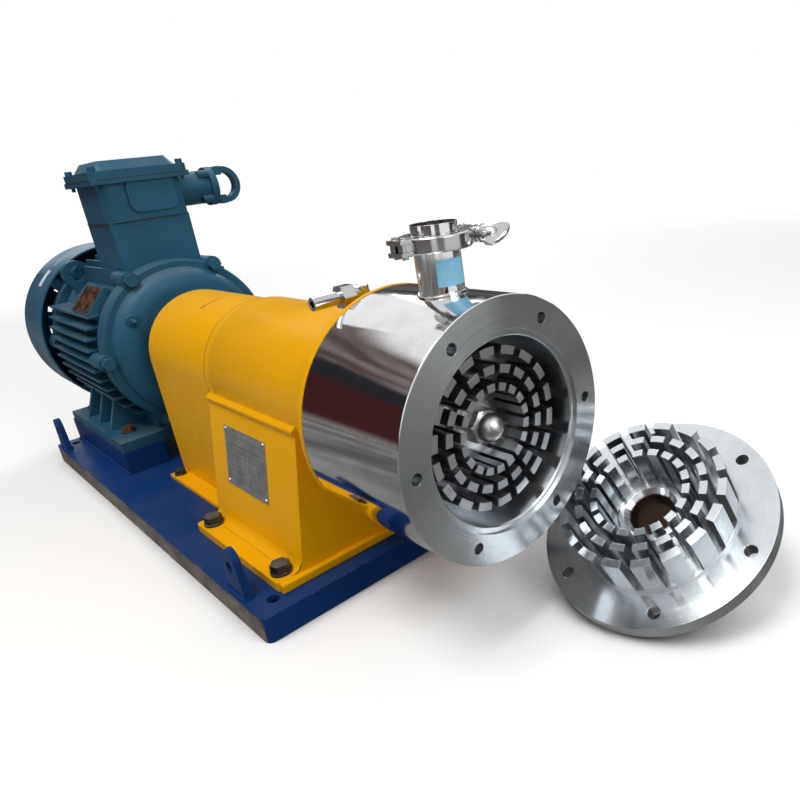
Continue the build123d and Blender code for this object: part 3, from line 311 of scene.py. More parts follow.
# The sprayed coat: orange peel and lumps, soil and dust in patches, and bare metal
# where an outer edge is worn, which shows as an angle between flat and round normal.
sprayed, given, result = group("sprayed_coat", (
    ("Paint", "NodeSocketColor", (0.5, 0.5, 0.5, 1)), ("Bare", "NodeSocketColor", (0.3, 0.3, 0.3, 1)),
    ("Grain", "NodeSocketFloat", 700.0), ("Chips", "NodeSocketFloat", 0.4), ("Dust", "NodeSocketFloat", 0.2),
    ("Gloss", "NodeSocketFloat", 0.3), ("Lumps", "NodeSocketFloat", 0.5), ("Soil", "NodeSocketFloat", 0.3)),
    (("Color", "NodeSocketColor"), ("Roughness", "NodeSocketFloat"), ("Height", "NodeSocketFloat"),
     ("Metal", "NodeSocketFloat")))
given = given.outputs
spot = here(sprayed)
flat = facing(sprayed)
peel = noise(sprayed, spot, given["Grain"], 2.0)
lumps = noise(sprayed, spot, 150.0, 3.0)
patch = noise(sprayed, spot, 14.0, 4.0)
speck = noise(sprayed, spot, 240.0, 6.0, 0.7)
edge = span(sprayed, vector(sprayed, "DOT_PRODUCT", rounded(sprayed, 0.0013), flat, "Value"), 0.985, 0.86)
chance = calc(sprayed, "MULTIPLY", calc(sprayed, "SUBTRACT", given["Chips"], 0.5), 0.3)
worn = calc(sprayed, "MULTIPLY", edge, span(sprayed, calc(sprayed, "ADD", speck, chance), 0.52, 0.58))
upper = span(sprayed, add(sprayed, "ShaderNodeSeparateXYZ", Vector=flat).outputs["Z"], 0.2, 1.0)
lying = calc(sprayed, "MULTIPLY", upper, span(sprayed, patch, 0.36, 0.7))
dust = calc(sprayed, "MULTIPLY", lying, given["Dust"])
dirty = blend(sprayed, 0.62, given["Paint"], (0.02, 0.02, 0.02))
soiled = calc(sprayed, "MULTIPLY", span(sprayed, patch, 0.3, 0.72), given["Soil"])
shade = blend(sprayed, soiled, given["Paint"], dirty)
shade = blend(sprayed, dust, shade, (0.42, 0.40, 0.36))
dull = calc(sprayed, "ADD", given["Gloss"], span(sprayed, patch, 0.3, 0.75, -0.05, 0.10))
skin = calc(sprayed, "ADD", calc(sprayed, "MULTIPLY", peel, 0.35),
            calc(sprayed, "MULTIPLY", lumps, given["Lumps"]))
bared = calc(sprayed, "MULTIPLY", worn, 0.6)
feed(sprayed, result, Color=blend(sprayed, worn, shade, given["Bare"]), Metal=bared,
     Roughness=calc(sprayed, "ADD", dull, calc(sprayed, "MULTIPLY", dust, 0.8)),
     Height=calc(sprayed, "SUBTRACT", skin, bared))


def bumped(tree, height, depth, radius=0.0):
    """The normal of a height in steps of depth, over edges rounded by radius."""
    bump = add(tree, "ShaderNodeBump", Height=height, Distance=depth)
    if radius:
        feed(tree, bump, Normal=rounded(tree, radius))
    return bump.outputs[0]


def coat(name, paint, bare, grain, chips, dust, gloss, lumps, depth, clear=0.0, radius=0.0006, soil=0.34,
         shine=0.25):
    """A sprayed finish: the coat's colour, roughness and height, over edges that the Bevel node rounds."""
    material, tree, shader, out = finish(name)
    skin = add(tree, "ShaderNodeGroup", node_tree=sprayed, Paint=(*paint, 1), Bare=(*bare, 1), Grain=grain,
               Chips=chips, Dust=dust, Gloss=gloss, Lumps=lumps, Soil=soil).outputs
    tinted = (0.25 + 0.75 * c / max(paint) for c in paint)
    feed(tree, shader, Base_Color=skin["Color"], Roughness=skin["Roughness"], Metallic=skin["Metal"],
         Normal=bumped(tree, skin["Height"], depth, radius), Coat_Weight=clear, Coat_Roughness=0.08,
         Specular_IOR_Level=shine, Specular_Tint=(*tinted, 1.0))
    return material, tree, shader


def joined(node, material, sharp=32.0):
    """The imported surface, its loose triangles joined, smooth over every edge flatter than sharp degrees."""
    mesh = frame["nodes"][node].data.copy()
    if "custom_normal" in mesh.attributes:
        mesh.attributes.remove(mesh.attributes["custom_normal"])
    work = bmesh.new()
    work.from_mesh(mesh)
    bmesh.ops.remove_doubles(work, verts=work.verts, dist=2e-6)
    work.to_mesh(mesh)
    work.free()
    mesh.materials.clear()
    mesh.materials.append(material)
    mesh.shade_smooth()
    mesh.set_sharp_from_angle(angle=np.radians(sharp))
    made = bpy.data.objects.new(node + "_skin", mesh)
    bpy.context.scene.collection.objects.link(made)
    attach(made, home[node])
    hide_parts(node)
    return made


def tube(route, radius, around=10, up=(0, 0, 1)):
    """A round skin about a route: P(s, a) = route(s) + r(s)(cos a N + sin a B), N and B square to it."""
    route = np.asarray(route, float)
    along = np.gradient(route, axis=0)
    along /= np.linalg.norm(along, axis=1)[:, None]
    first = np.cross(along, up)
    first /= np.linalg.norm(first, axis=1)[:, None]
    second = np.cross(along, first)
    a = np.linspace(0, 2 * np.pi, around, endpoint=False)[None, :, None]
    r = np.broadcast_to(radius, (len(route),))[:, None, None]
    return route[:, None] + r * (np.cos(a) * first[:, None] + np.sin(a) * second[:, None])


def weld(start, end, size, pitch=0.0042):
    """A weld bead: a straight tube whose radius swells and dips once for each drop of filler."""
    start, end = np.array(start, float), np.array(end, float)
    run = np.linalg.norm(end - start)
    s = np.linspace(0, 1, max(int(run / 0.0008), 8))
    ends = np.clip(np.minimum(s, 1 - s) * run / size, 0.02, 1)
    r = size * (1 + 0.13 * np.sin(2 * np.pi * s * run / pitch)) * ends
    tilt = (0, 0, 1) if abs(end[2] - start[2]) < 0.5 * run else (1, 0, 0)
    return tube(start + (end - start) * s[:, None], r, 10, tilt)


edge_y = float(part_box("base_frame")[0][1])
band_top = 0.0335
blue, tree, shader = coat("base_blue", paint=(0.006, 0.036, 0.156), bare=(0.16, 0.15, 0.14), grain=520.0,
                          chips=0.50, dust=0.025, gloss=0.34, lumps=0.25, depth=0.00022, soil=0.25,
                          shine=0.12)
spot = here(tree)
place = add(tree, "ShaderNodeSeparateXYZ", Vector=spot).outputs
grime = noise(tree, spot, 38.0, 6.0, 0.65)
streak = noise(tree, spot, (18.0, 18.0, 160.0), 4.0)
ragged = calc(tree, "ADD", place["Z"], calc(tree, "MULTIPLY", grime, 0.012))
# The side face along the nameplate side is coloured grey brown with lighter streaks, up to a ragged line near
# its top.
grey_brown_band = calc(tree, "MULTIPLY", span(tree, place["Y"], edge_y + 0.0015, edge_y + 0.0003),
                span(tree, ragged, band_top, band_top - 0.0045))
steel = blend(tree, span(tree, grime, 0.32, 0.68), (0.21, 0.185, 0.155), (0.095, 0.075, 0.060))
steel = blend(tree, span(tree, streak, 0.52, 0.70, 0.0, 0.5), steel, (0.30, 0.28, 0.25))
painted = shader.inputs["Base Color"].links[0].from_socket
feed(tree, shader, Base_Color=blend(tree, grey_brown_band, painted, steel))
for node in ("base_frame", "base_ribs", "lifting_plates", "motor_pads"):
    joined(node, blue)
deck, plate_bead, bar_bead = 0.028, 0.0026, 0.0028
bead_z = deck + 0.0006
plate_middles, plate_half, plate_faces = (0.316, -0.344), 0.019, (0.161, 0.169)
pad_low, pad_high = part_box("motor_pads")
beads = []
for x in plate_middles:
    for y in plate_faces:
        for side in (-1, 1):
            beads.append(weld((x - plate_half, side * y, bead_z),
                              (x + plate_half, side * y, bead_z), plate_bead))
for side in (-1, 1):
    beads.append(weld((pad_low[0] + 0.004, side * pad_high[1], bead_z),
                      (pad_high[0] - 0.004, side * pad_high[1], bead_z), bar_bead))
welds = skins("base_welds", beads, blue, loop_v=True)
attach(welds, "base")


# Motor castings: frame with fins and feet, end shields, terminal box and lid,
# gland and lifting eye, cast iron under one thick coat of grey teal enamel, with
# dust on top. The cowl is pressed sheet in the same enamel, and smoother.
rubbed = (0.10, 0.095, 0.085)
cast, tree, shader = coat("motor_enamel", paint=(0.022, 0.098, 0.160), bare=rubbed, grain=460.0, chips=0.30,
                          dust=0.14, gloss=0.34, lumps=1.0, depth=0.00040, radius=0.0011, shine=0.30)
pressed, tree, shader = coat("cowl_enamel", paint=(0.028, 0.132, 0.216), bare=rubbed, grain=620.0, chips=0.32,
                             dust=0.10, gloss=0.32, lumps=0.15, depth=0.00018, clear=0.03, shine=0.35)
for node in ("motor_frame", "motor_end_shield", "motor_rear_shield", "end_shield_bolts", "terminal_box",
             "terminal_lid", "cable_gland", "gland_clamp", "gland_bolts", "lifting_eye"):
    joined(node, cast)
joined("fan_cowl", pressed)


# Joint between box and lid: a thin dark line of grease and paint edge, and below
# it the same line where the box is bolted on the neck.
def mottled(name, scale, first, second, rough, depth=0.0, metal=0.0, detail=4.0, grain=0.5, mix=None,
            radius=0.0):
    """A finish of one noise, which mixes two colours, spreads the roughness and raises bumps."""
    material, tree, shader, out = finish(name)
    mottle = noise(tree, here(tree), scale, detail, grain)
    share = span(tree, mottle, *mix) if mix else mottle
    feed(tree, shader, Base_Color=blend(tree, share, first, second), Roughness=span(tree, mottle, *rough),
         Metallic=metal)
    if depth:
        feed(tree, shader, Normal=bumped(tree, mottle, depth, radius))
    return material, tree, shader, mottle


def frame_line(centre, half_x, half_y, corner, z):
    """A closed loop round a rectangle with rounded corners: a quarter arc about each corner's centre."""
    q = np.linspace(0, np.pi / 2, 9)
    arcs = []
    for k, (sx, sy) in enumerate(((1, 1), (-1, 1), (-1, -1), (1, -1))):
        t = q + k * np.pi / 2
        arcs.append(np.stack((sx * (half_x - corner) + corner * np.cos(t),
                              sy * (half_y - corner) + corner * np.sin(t), 0 * t + z), -1))
    loop = np.concatenate(arcs) + (*centre, 0)
    return np.concatenate((loop, loop[:1]))


grease = mottled("joint_grease", 300.0, (0.010, 0.022, 0.028), (0.035, 0.060, 0.070), (0.3, 0.7, 0.35, 0.6),
                 detail=3.0)[0]
neck_low, neck_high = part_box("terminal_box")
box_middle = ((neck_low[0] + neck_high[0]) / 2, 0.0)
lid_line = frame_line(box_middle, half_x=0.0642, half_y=0.0662, corner=0.010, z=0.431)
neck_line = frame_line(box_middle, half_x=0.0552, half_y=0.0572, corner=0.014, z=0.3736)
lines = [tube(lid_line, 0.0007, 8), tube(neck_line, 0.0007, 8)]
joints = skins("box_joint_lines", lines, grease, loop_v=True)
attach(joints, "base")


# Grease nipple on the drive end shield: a small turned nipple with a ball end,
# screwed in the boss at the nameplate side and sprayed over with the motor.
def turned(profile, base, axis, around=48):
    """A turned skin from profile pairs (s, r): P = base + s axis + r(cos a N + sin a B)."""
    profile, axis = np.asarray(profile, float), np.array(axis, float) / np.linalg.norm(axis)
    helper = (0, 0, 1) if abs(axis[2]) < 0.9 else (1, 0, 0)
    first = np.cross(axis, helper)
    first /= np.linalg.norm(first)
    second = np.cross(axis, first)
    a = np.linspace(0, 2 * np.pi, around, endpoint=False)[:, None]
    round_way = np.cos(a) * first + np.sin(a) * second
    return np.array(base) + profile[:, :1, None] * axis + profile[:, 1:, None] * round_way[None]


nipple_foot = (-0.0770, -0.077, 0.247)
nipple_line = np.array(((0, 0), (0, 3.4), (1.6, 3.4), (2.0, 2.2), (3.4, 2.2), (4.0, 1.5), (4.8, 2.0),
                        (5.8, 2.0), (6.6, 1.2), (6.8, 0))) / 1000
nipple = skins("grease_nipple", [turned(nipple_line, nipple_foot, (1, 0, 0), 24)], cast, loop_v=True)
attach(nipple, "base")


# Stickers on the cowl: two bare paper labels under clear film, one pale and one
# bluish, wrapped on the sheet near its front edge.
shaft_z = behaviour["joints"][0]["pos_m"][2]
cowl_radius = 0.13852
film = mottled("bare_sticker", 120.0, (0.60, 0.70, 0.76), (0.78, 0.84, 0.88), (0.3, 0.7, 0.25, 0.45),
               0.0003)[0]
bluish = mottled("bluish_sticker", 120.0, (0.10, 0.25, 0.45), (0.20, 0.38, 0.58), (0.3, 0.7, 0.2, 0.4),
                 0.0003)[0]


def wrapped(x0, x1, first, last, radius, thick=0.00018):
    """A thin patch round the shaft: P(x, a) = (x, r cos a, z + r sin a), its two ends drawn down."""
    x = np.linspace(x0, x1, 6)[:, None]
    a = np.radians(np.linspace(first, last, 28))[None]
    under, over = (np.stack(np.broadcast_arrays(x, r * np.cos(a), shaft_z + r * np.sin(a)), -1)
                   for r in (radius, radius + thick))
    return np.concatenate((under[:1], over, under[-1:]), 0)


patch = wrapped(x0=-0.434, x1=-0.416, first=128, last=141, radius=cowl_radius)
sticker = skins("cowl_sticker", [patch], film)
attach(sticker, "base")
patch = wrapped(x0=-0.430, x1=-0.417, first=117, last=124, radius=cowl_radius)
sticker = skins("cowl_sticker_blue", [patch], bluish)
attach(sticker, "base")


# Motor nameplate: thin bare plate, aged brown, on the inclined pad between the
# fins. Foot bolts of the motor: unpainted hex bolts on washers, dark and rusty.
aged = mottled("aged_plate", 90.0, (0.050, 0.022, 0.014), (0.150, 0.085, 0.055), (0.3, 0.7, 0.30, 0.6),
               0.0003, 0.5, detail=6.0, grain=0.65, mix=(0.35, 0.7), radius=0.0004)[0]
joined("motor_nameplate", aged)
rusty, tree, shader, rust = mottled("rusty_bolt", 260.0, (0.030, 0.022, 0.020), (0.150, 0.058, 0.022),
                                    (0.35, 0.65, 0.45, 0.85), 0.0005, detail=6.0, grain=0.7, mix=(0.36, 0.62),
                                    radius=0.0006)
feed(tree, shader, Metallic=span(tree, rust, 0.45, 0.60, 0.7, 0.0))
joined("motor_foot_bolts", rusty)

# Black bolts: oxide black hex bolts and washers of guard and pedestal, with oil
# sheen and grey rubbed corners.
oxide, tree, shader = coat("oxide_black", paint=(0.012, 0.012, 0.014), bare=(0.16, 0.15, 0.14), grain=900.0,
                           chips=0.5, dust=0.30, gloss=0.34, lumps=0.3, depth=0.00015, shine=0.6)
for node in ("pedestal_bolts", "guard_bolts"):
    joined(node, oxide)


# Guard and pedestal: the guard is a bent steel sheet arch with feet, the pedestal
# a cast and welded housing with a flared rim, both in glossy yellow enamel. The
# flare's outer edge is drawn in to a thin lip round the casing.
def corners(mesh):
    """The mesh's vertices, one row each."""
    spots = np.zeros(len(mesh.vertices) * 3)
    mesh.vertices.foreach_get("co", spots)
    return spots.reshape(-1, 3)


yellow, tree, shader = coat("yellow_enamel", paint=(0.86, 0.412, 0.000), bare=(0.34, 0.24, 0.10), grain=380.0,
                            chips=0.20, dust=0.01, gloss=0.28, lumps=0.30, depth=0.00014, radius=0.0014,
                            soil=0.05, shine=0.13)
for node in ("coupling_guard", "bearing_pedestal"):
    joined(node, yellow)
lip_radius, kept_share = 0.1131, 0.15
shaft_line = np.array((0, shaft_z))
housing = bpy.data.objects["bearing_pedestal_skin"].data
spots = corners(housing)
spokes = spots[:, 1:] - shaft_line
reach = np.hypot(spokes[:, 0], spokes[:, 1])
flare = (reach > lip_radius) & (spots[:, 0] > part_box("pump_casing")[0][0] - 0.012)
drawn_in = (lip_radius + kept_share * (reach[flare] - lip_radius)) / reach[flare]
spots[flare, 1:] = spokes[flare] * drawn_in[:, None] + shaft_line
housing.vertices.foreach_set("co", spots.ravel())


# Ledges and fillets of the leg: a ledge along the top of each inclined side, a run
# of filler in the corner over the foot plate, and the foot plate's own front lip.
def strip(section, x0, x1):
    """A bar along X with a closed section of (y, z), capped by drawing each end together at its middle."""
    section = np.asarray(section, float)
    middle = section.mean(0)
    loops = ((x0, 0.0), (x0, 1.0), (x1, 1.0), (x1, 0.0))
    return np.stack([np.column_stack((np.full(len(section), x), middle + k * (section - middle)))
                     for x, k in loops])


leg_from, leg_to, foot_top, foot_half = 0.147, 0.350, 0.038, 0.1385
ledge_line = np.array(((0.0858, -0.021), (0.0893, -0.0145), (0.0890, -0.0125), (0.0838, -0.0085),
                       (0.0800, -0.0120)))
corner, foot_end, wall_end = np.array((0.1120, 0.0)), np.array((0.1220, 0.0)), np.array((0.1100, 0.0100))
t = np.linspace(0, 1, 7)[:, None]
filler_line = (1 - t) ** 2 * foot_end + 2 * t * (1 - t) * corner + t ** 2 * wall_end
filler_line = np.concatenate((filler_line, ((0.1090, -0.0004), (0.1210, -0.0004))))
ledges = []
for side in (-1, 1):
    ledges.append(strip(ledge_line * (side, 1) + shaft_line, leg_from + 0.0006, leg_to - 0.0006))
    ledges.append(strip(filler_line * (side, 1) + (0, foot_top), leg_from + 0.0010, leg_to - 0.0010))
lip = frame_line((0.0, 0.0), half_x=0.0040, half_y=0.0050, corner=0.0018, z=0.0)[:-1, :2]
lip_x, lip_z = leg_to + 0.0030, foot_top - 0.0050
bar = np.stack([np.column_stack((lip_x + k * lip[:, 0], np.full(len(lip), y), lip_z + k * lip[:, 1]))
                for y, k in ((-foot_half, 0.0), (-foot_half, 1.0), (foot_half, 1.0), (foot_half, 0.0))])
ledge = skins("pedestal_ledges", ledges + [bar], yellow, loop_v=True)
ledge.data.set_sharp_from_angle(angle=np.radians(40))
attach(ledge, "base")


# Turning mark and seam: a worn red mark on top of the guard, and a fine dark line
# of shadow where guard and pedestal meet.
def on_arch(x, degrees, radius, width, thick=0.0003):
    """A thin ribbon along a line on the arch, given by its x and its angle from +Y towards +Z."""
    a = np.radians(degrees)
    line = np.stack((x, radius * np.cos(a), shaft_z + radius * np.sin(a)), -1)
    out_way = np.stack((0 * a, np.cos(a), np.sin(a)), -1)
    along = np.gradient(line, axis=0)
    along /= np.linalg.norm(along, axis=1)[:, None]
    across = np.cross(out_way, along)
    corner_steps = ((-1, 0), (-1, 1), (1, 1), (1, 0))
    return np.stack([line + p * width / 2 * across + q * thick * out_way for p, q in corner_steps], 1)


arch_radius, seam_x = 0.0800, 0.1370
scuff = mottled("turning_mark_red", 500.0, (0.42, 0.060, 0.012), (0.60, 0.20, 0.010), (0.3, 0.7, 0.3, 0.5),
                mix=(0.35, 0.65))[0]
arc = np.linspace(0, 1, 40)
mark_radius = arch_radius + 0.00002
strokes = [on_arch(0.068 - 0.009 * arc, 95 + 22 * arc, mark_radius, width=0.0019),
           on_arch(0.059 + 0.006 * arc, 117 - 4 * arc, mark_radius, width=0.0016)]
mark = skins("turning_mark", strokes, scuff, loop_v=True)
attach(mark, "base")
shadow_line = mottled("seam_shadow", 260.0, (0.16, 0.065, 0.004), (0.36, 0.17, 0.006), (0.3, 0.7, 0.4, 0.6),
                      detail=3.0)[0]
seam = on_arch(seam_x + 0 * arc, 2 + 176 * arc, arch_radius, width=0.0011, thick=0.00016)
seam = skins("guard_seam", [seam], shadow_line, loop_v=True)
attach(seam, "base")


# Pump nameplate: bare etched stainless plate with a dark border and blank ruled
# rows, held by four domed rivets on the inclined side of the pedestal's leg.
etched, tree, shader, out = finish("etched_plate")
spot = here(tree)
brush = noise(tree, spot, (30.0, 2500.0, 2500.0), 3.0)
tarnish = span(tree, noise(tree, spot, 70.0, 5.0), 0.3, 0.7)
feed(tree, shader, Base_Color=blend(tree, tarnish, (0.34, 0.36, 0.38), (0.52, 0.53, 0.54)), Metallic=0.85,
     Roughness=span(tree, brush, 0.3, 0.7, 0.34, 0.56), Normal=bumped(tree, brush, 0.00006))
badge = joined("pump_nameplate", etched)
ink = mottled("plate_ink", 900.0, (0.020, 0.024, 0.030), (0.10, 0.11, 0.12), (0.3, 0.7, 0.4, 0.6),
              detail=3.0)[0]
plated = mottled("zinc_plate", 420.0, (0.42, 0.41, 0.38), (0.62, 0.62, 0.60), (0.3, 0.7, 0.22, 0.42), 0.0001,
                 1.0, radius=0.0004)[0]

# The plate's middle, its run along the leg, its rise up the slope and its outward
# way come from its corners. It is then drawn lower by squat.
squat = 0.86
spots = np.unique(np.round(corners(frame["nodes"]["pump_nameplate"].data), 6), axis=0)
heart = spots.mean(0)
run = np.array((1.0, 0.0, 0.0))
spread = np.linalg.svd((spots - heart)[:, 1:], full_matrices=False)[2][0]
rise = np.array((0.0, *spread)) * np.sign(spread[1])
outward = np.cross(run, rise)
face = heart + outward * 0.0004
spots = corners(badge.data)
spots -= (1 - squat) * ((spots - heart) @ rise)[:, None] * rise
badge.data.vertices.foreach_set("co", spots.ravel())


def bar_on_plate(u0, u1, v0, v1, thick=0.00010):
    """A raised bar on the plate, its foot and its top: P = face + u run + v rise + t outward."""
    corner = np.array(((u0, v0), (u1, v0), (u1, v1), (u0, v1))) * (1, squat)
    flat = face + corner[:, :1] * run + corner[:, 1:] * rise
    top = flat + outward * thick
    return np.stack((flat, top, np.broadcast_to(top.mean(0), flat.shape)), 0)


border_u, border_v, line, first_row, row_pitch = 0.0415, 0.0298, 0.0006, 0.0110, 0.0072
bars = [bar_on_plate(-border_u, border_u, border_v - line, border_v),
        bar_on_plate(-border_u, border_u, -border_v, -border_v + line),
        bar_on_plate(-border_u, -border_u + line, -border_v, border_v),
        bar_on_plate(border_u - line, border_u, -border_v, border_v),
        bar_on_plate(-0.0005, 0.0001, -border_v, first_row)]
for k in range(6):
    level = first_row - row_pitch * k
    bars.append(bar_on_plate(-0.0380, -0.0060, level - 0.0002, level + 0.0002))
    bars.append(bar_on_plate(0.0050, 0.0380, level - 0.0002, level + 0.0002))
bars.append(bar_on_plate(-0.0380, 0.0380, 0.0175, 0.0185))
rules = skins("plate_rules", bars, ink, loop_v=True)
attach(rules, "base")
t = np.linspace(0, np.pi / 2, 8)
dome = np.column_stack((0.0021 * np.sin(t), 0.0026 * np.cos(t)))
rivet_u, rivet_v = 0.045, 0.036
domes = [turned(dome, face + u * run + v * squat * rise, outward, 20)
         for u in (-rivet_u, rivet_u) for v in (-rivet_v, rivet_v)]
rivets = skins("plate_rivets", domes, plated, loop_v=True)
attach(rivets, "base")
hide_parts("nameplate_rivets")


# Casing and outlet: turned from stainless bar and tube, the outside polished to a
# mirror that still waves a little, the front face and bore left as turned, with
# fine rings round the shaft.
marks_out = (("Roughness", "NodeSocketFloat"), ("Height", "NodeSocketFloat"), ("Tone", "NodeSocketFloat"))
marks_in = (("Base", "NodeSocketFloat", 0.06), ("Wave", "NodeSocketFloat", 1.0))
polish, given, result = group("polish_marks", marks_in, marks_out)
spot = here(polish)
wave = noise(polish, spot, 9.0, 1.0)
smudge = noise(polish, spot, 34.0, 6.0, 0.6)
hair = noise(polish, spot, (2600.0, 60.0, 60.0), 3.0)
matt = calc(polish, "ADD", span(polish, smudge, 0.45, 0.8, 0.0, 0.09), calc(polish, "MULTIPLY", hair, 0.04))
feed(polish, result, Roughness=calc(polish, "ADD", given.outputs["Base"], matt),
     Height=calc(polish, "ADD", calc(polish, "MULTIPLY", wave, given.outputs["Wave"]),
                 calc(polish, "MULTIPLY", hair, 0.0035)),
     Tone=span(polish, smudge, 0.3, 0.75, 1.0, 0.86))

# Turned rings: a noise over the distance from the axis and the depth along it, so
# that it is nearly constant round the axis, as a lathe tool's grooves are.
lathe, given, result = group("turned_rings", (
    ("Centre", "NodeSocketVector", (0, 0, 0)), ("Axis", "NodeSocketVector", (1, 0, 0)),
    ("Lines", "NodeSocketFloat", 1800.0), ("Base", "NodeSocketFloat", 0.3)), marks_out)
given = given.outputs
spot = here(lathe)
arm = vector(lathe, "SUBTRACT", spot, given["Centre"])
depth = vector(lathe, "DOT_PRODUCT", arm, given["Axis"], "Value")
spoke = vector(lathe, "SUBTRACT", arm, vector(lathe, "SCALE", given["Axis"], Scale=depth))
reach = vector(lathe, "LENGTH", spoke, out="Value")
aim = vector(lathe, "NORMALIZE", spoke)
rings = add(lathe, "ShaderNodeCombineXYZ", X=calc(lathe, "MULTIPLY", reach, given["Lines"]),
            Y=calc(lathe, "MULTIPLY", depth, given["Lines"]), Z=0.0).outputs[0]
rings = vector(lathe, "ADD", rings, vector(lathe, "SCALE", aim, Scale=0.6))
groove = noise(lathe, rings, 1.0, 4.0, 0.7)
# Painted sheen: the colour is a little lighter and darker in broad wedges round the axis, where turned
# grooves would spread their highlights.
painted_sheen = noise(lathe, aim, 2.6, 3.0)
smudge = noise(lathe, spot, 60.0, 6.0, 0.6)
matt = calc(lathe, "ADD", span(lathe, groove, 0.3, 0.7, -0.03, 0.04),
            span(lathe, smudge, 0.4, 0.75, 0.0, 0.03))
tone = calc(lathe, "MULTIPLY", span(lathe, smudge, 0.35, 0.8, 1.0, 0.93),
            span(lathe, groove, 0.25, 0.75, 0.95, 1.04))
feed(lathe, result, Roughness=calc(lathe, "ADD", given["Base"], matt), Height=groove,
     Tone=calc(lathe, "MULTIPLY", span(lathe, painted_sheen, 0.3, 0.7, 0.93, 1.03), tone))


def combed(tree, shader, centre, axis, amount):
    """Gloss drawn out across the lathe's grooves, by the tangent (a x (p - c)) x n in the surface."""
    arm = vector(tree, "SUBTRACT", here(tree), centre)
    around = vector(tree, "CROSS_PRODUCT", axis, arm)
    across = vector(tree, "NORMALIZE", vector(tree, "CROSS_PRODUCT", around, facing(tree)))
    feed(tree, shader, Tangent=across, Anisotropic=amount)
    return around


def stainless(name, colour, marks, depth, radius=0.0004, comb=0.0, **values):
    """Bare steel: a marks group gives roughness, height and tone, and its colour is toned by the marks."""
    material, tree, shader, out = finish(name)
    if comb:
        combed(tree, shader, values["Centre"], values["Axis"], comb)
    skin = add(tree, "ShaderNodeGroup", node_tree=marks, **values).outputs
    feed(tree, shader, Base_Color=blend(tree, skin["Tone"], (0.0, 0.0, 0.0), colour), Metallic=1.0,
         Roughness=skin["Roughness"], Normal=bumped(tree, skin["Height"], depth, radius))
    return material


on_shaft = {"Centre": (0, 0, shaft_z), "Axis": (1, 0, 0)}
mirror = stainless("mirror_steel", (0.80, 0.81, 0.82), polish, depth=0.0006, Base=0.05, Wave=1.0)
machined = stainless("machined_steel", (0.68, 0.71, 0.73), lathe, depth=0.000010, comb=0.80,
                     Lines=2400.0, Base=0.21, **on_shaft)
face_radius, back_wall_x = 0.1122, 0.43
shell = joined("pump_casing", mirror)
shell.data.materials.append(machined)
faces = len(shell.data.polygons)
middles = np.zeros(faces * 3)
shell.data.polygons.foreach_get("center", middles)
middles = middles.reshape(-1, 3)
turned_face = (np.hypot(middles[:, 1], middles[:, 2] - shaft_z) < face_radius) & (middles[:, 0] > back_wall_x)
shell.data.polygons.foreach_set("material_index", turned_face.astype(np.int32))
for node in ("outlet_pipe", "outlet_stub"):
    joined(node, mirror)

# Saddle weld of the outlet tube: ground and polished, a low ring that follows the
# casing's curve, with a straw tint beside it.
outlet_x, casing_radius, tube_radius = 0.4971, 0.113, 0.0190
tinted, tree, shader, out = finish("weld_tint")
skin = add(tree, "ShaderNodeGroup", node_tree=polish, Base=0.16, Wave=0.5).outputs
heat = noise(tree, here(tree), 160.0, 4.0)
feed(tree, shader, Base_Color=blend(tree, heat, (0.46, 0.44, 0.42), (0.62, 0.58, 0.52)),
     Roughness=skin["Roughness"], Normal=bumped(tree, heat, 0.0003), Metallic=1.0)
a = np.linspace(0, 2 * np.pi, 220)
ring_radius = tube_radius + 0.0007
saddle_y = ring_radius * np.sin(a)
saddle_z = shaft_z + np.sqrt(casing_radius ** 2 - saddle_y ** 2) + 0.0004
saddle = np.stack((outlet_x + ring_radius * np.cos(a), saddle_y, saddle_z), -1)
ripple = 0.0016 * (1 + 0.03 * np.sin(42 * a))
bead = skins("outlet_weld", [tube(saddle, ripple, 12)], tinted, loop_v=True)
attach(bead, "base")

# Outlet label: a bare light blue vinyl label stuck on the tube towards the front,
# P(a, z) = (x + r cos a, r sin a, z), with its two side edges drawn down.
label_low, label_high = 0.3148, 0.3360
vinyl = mottled("blue_vinyl", 180.0, (0.20, 0.50, 0.70), (0.28, 0.60, 0.80), (0.3, 0.7, 0.28, 0.42),
                0.0003)[0]
a, z = np.meshgrid(np.radians(np.linspace(-48, 45, 30)), np.linspace(label_low, label_high, 8), indexing="ij")
under, over = (np.stack((outlet_x + r * np.cos(a), r * np.sin(a), z), -1)
               for r in (tube_radius + 0.00002, tube_radius + 0.00018))
label = skins("outlet_label", [np.concatenate((under[:1], over, under[-1:]), 0)], vinyl)
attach(label, "base")


# Clamp, bolt and wing nut: investment cast stainless, tumbled to a soft shine, the
# gasket between the ferrules white. The wing nut is a tapered hub with one oval
# paddle, P(a, b) = middle + cos a flat(b) x + sin a flat(b) spread + thick(b) lean.
bolt_y, bolt_z = behaviour["joints"][2]["pos_m"][1:]
tumbled = stainless("tumbled_steel", (0.57, 0.57, 0.57), polish, depth=0.0005, radius=0.0009, Base=0.14,
                    Wave=0.6)
for node in ("clamp_front_half", "clamp_rear_half", "clamp_hinge", "clamp_pivot_pin", "clamp_washer",
             "flush_fitting", "flush_nipple"):
    joined(node, tumbled)
nut_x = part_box("wing_nut")[0][0]
hub_line = np.array(((0, 0), (0, 6.2), (0.6, 6.8), (4, 6.8), (14.2, 5.6), (15, 4.8), (15, 0))) / 1000
hub = turned(hub_line, (nut_x, bolt_y, bolt_z), (1, 0, 0), 32)
a, b = np.meshgrid(np.linspace(0, 2 * np.pi, 48, endpoint=False), np.linspace(0, np.pi, 25), indexing="ij")
flat, thick = np.sin(b) ** 0.35, np.sign(np.cos(b)) * np.abs(np.cos(b)) ** 0.6
spread, lean = np.array((0, 0.8, 0.6)), np.array((0, -0.6, 0.8))
paddle_length, paddle_width, paddle_thick = 0.0118, 0.0128, 0.0021
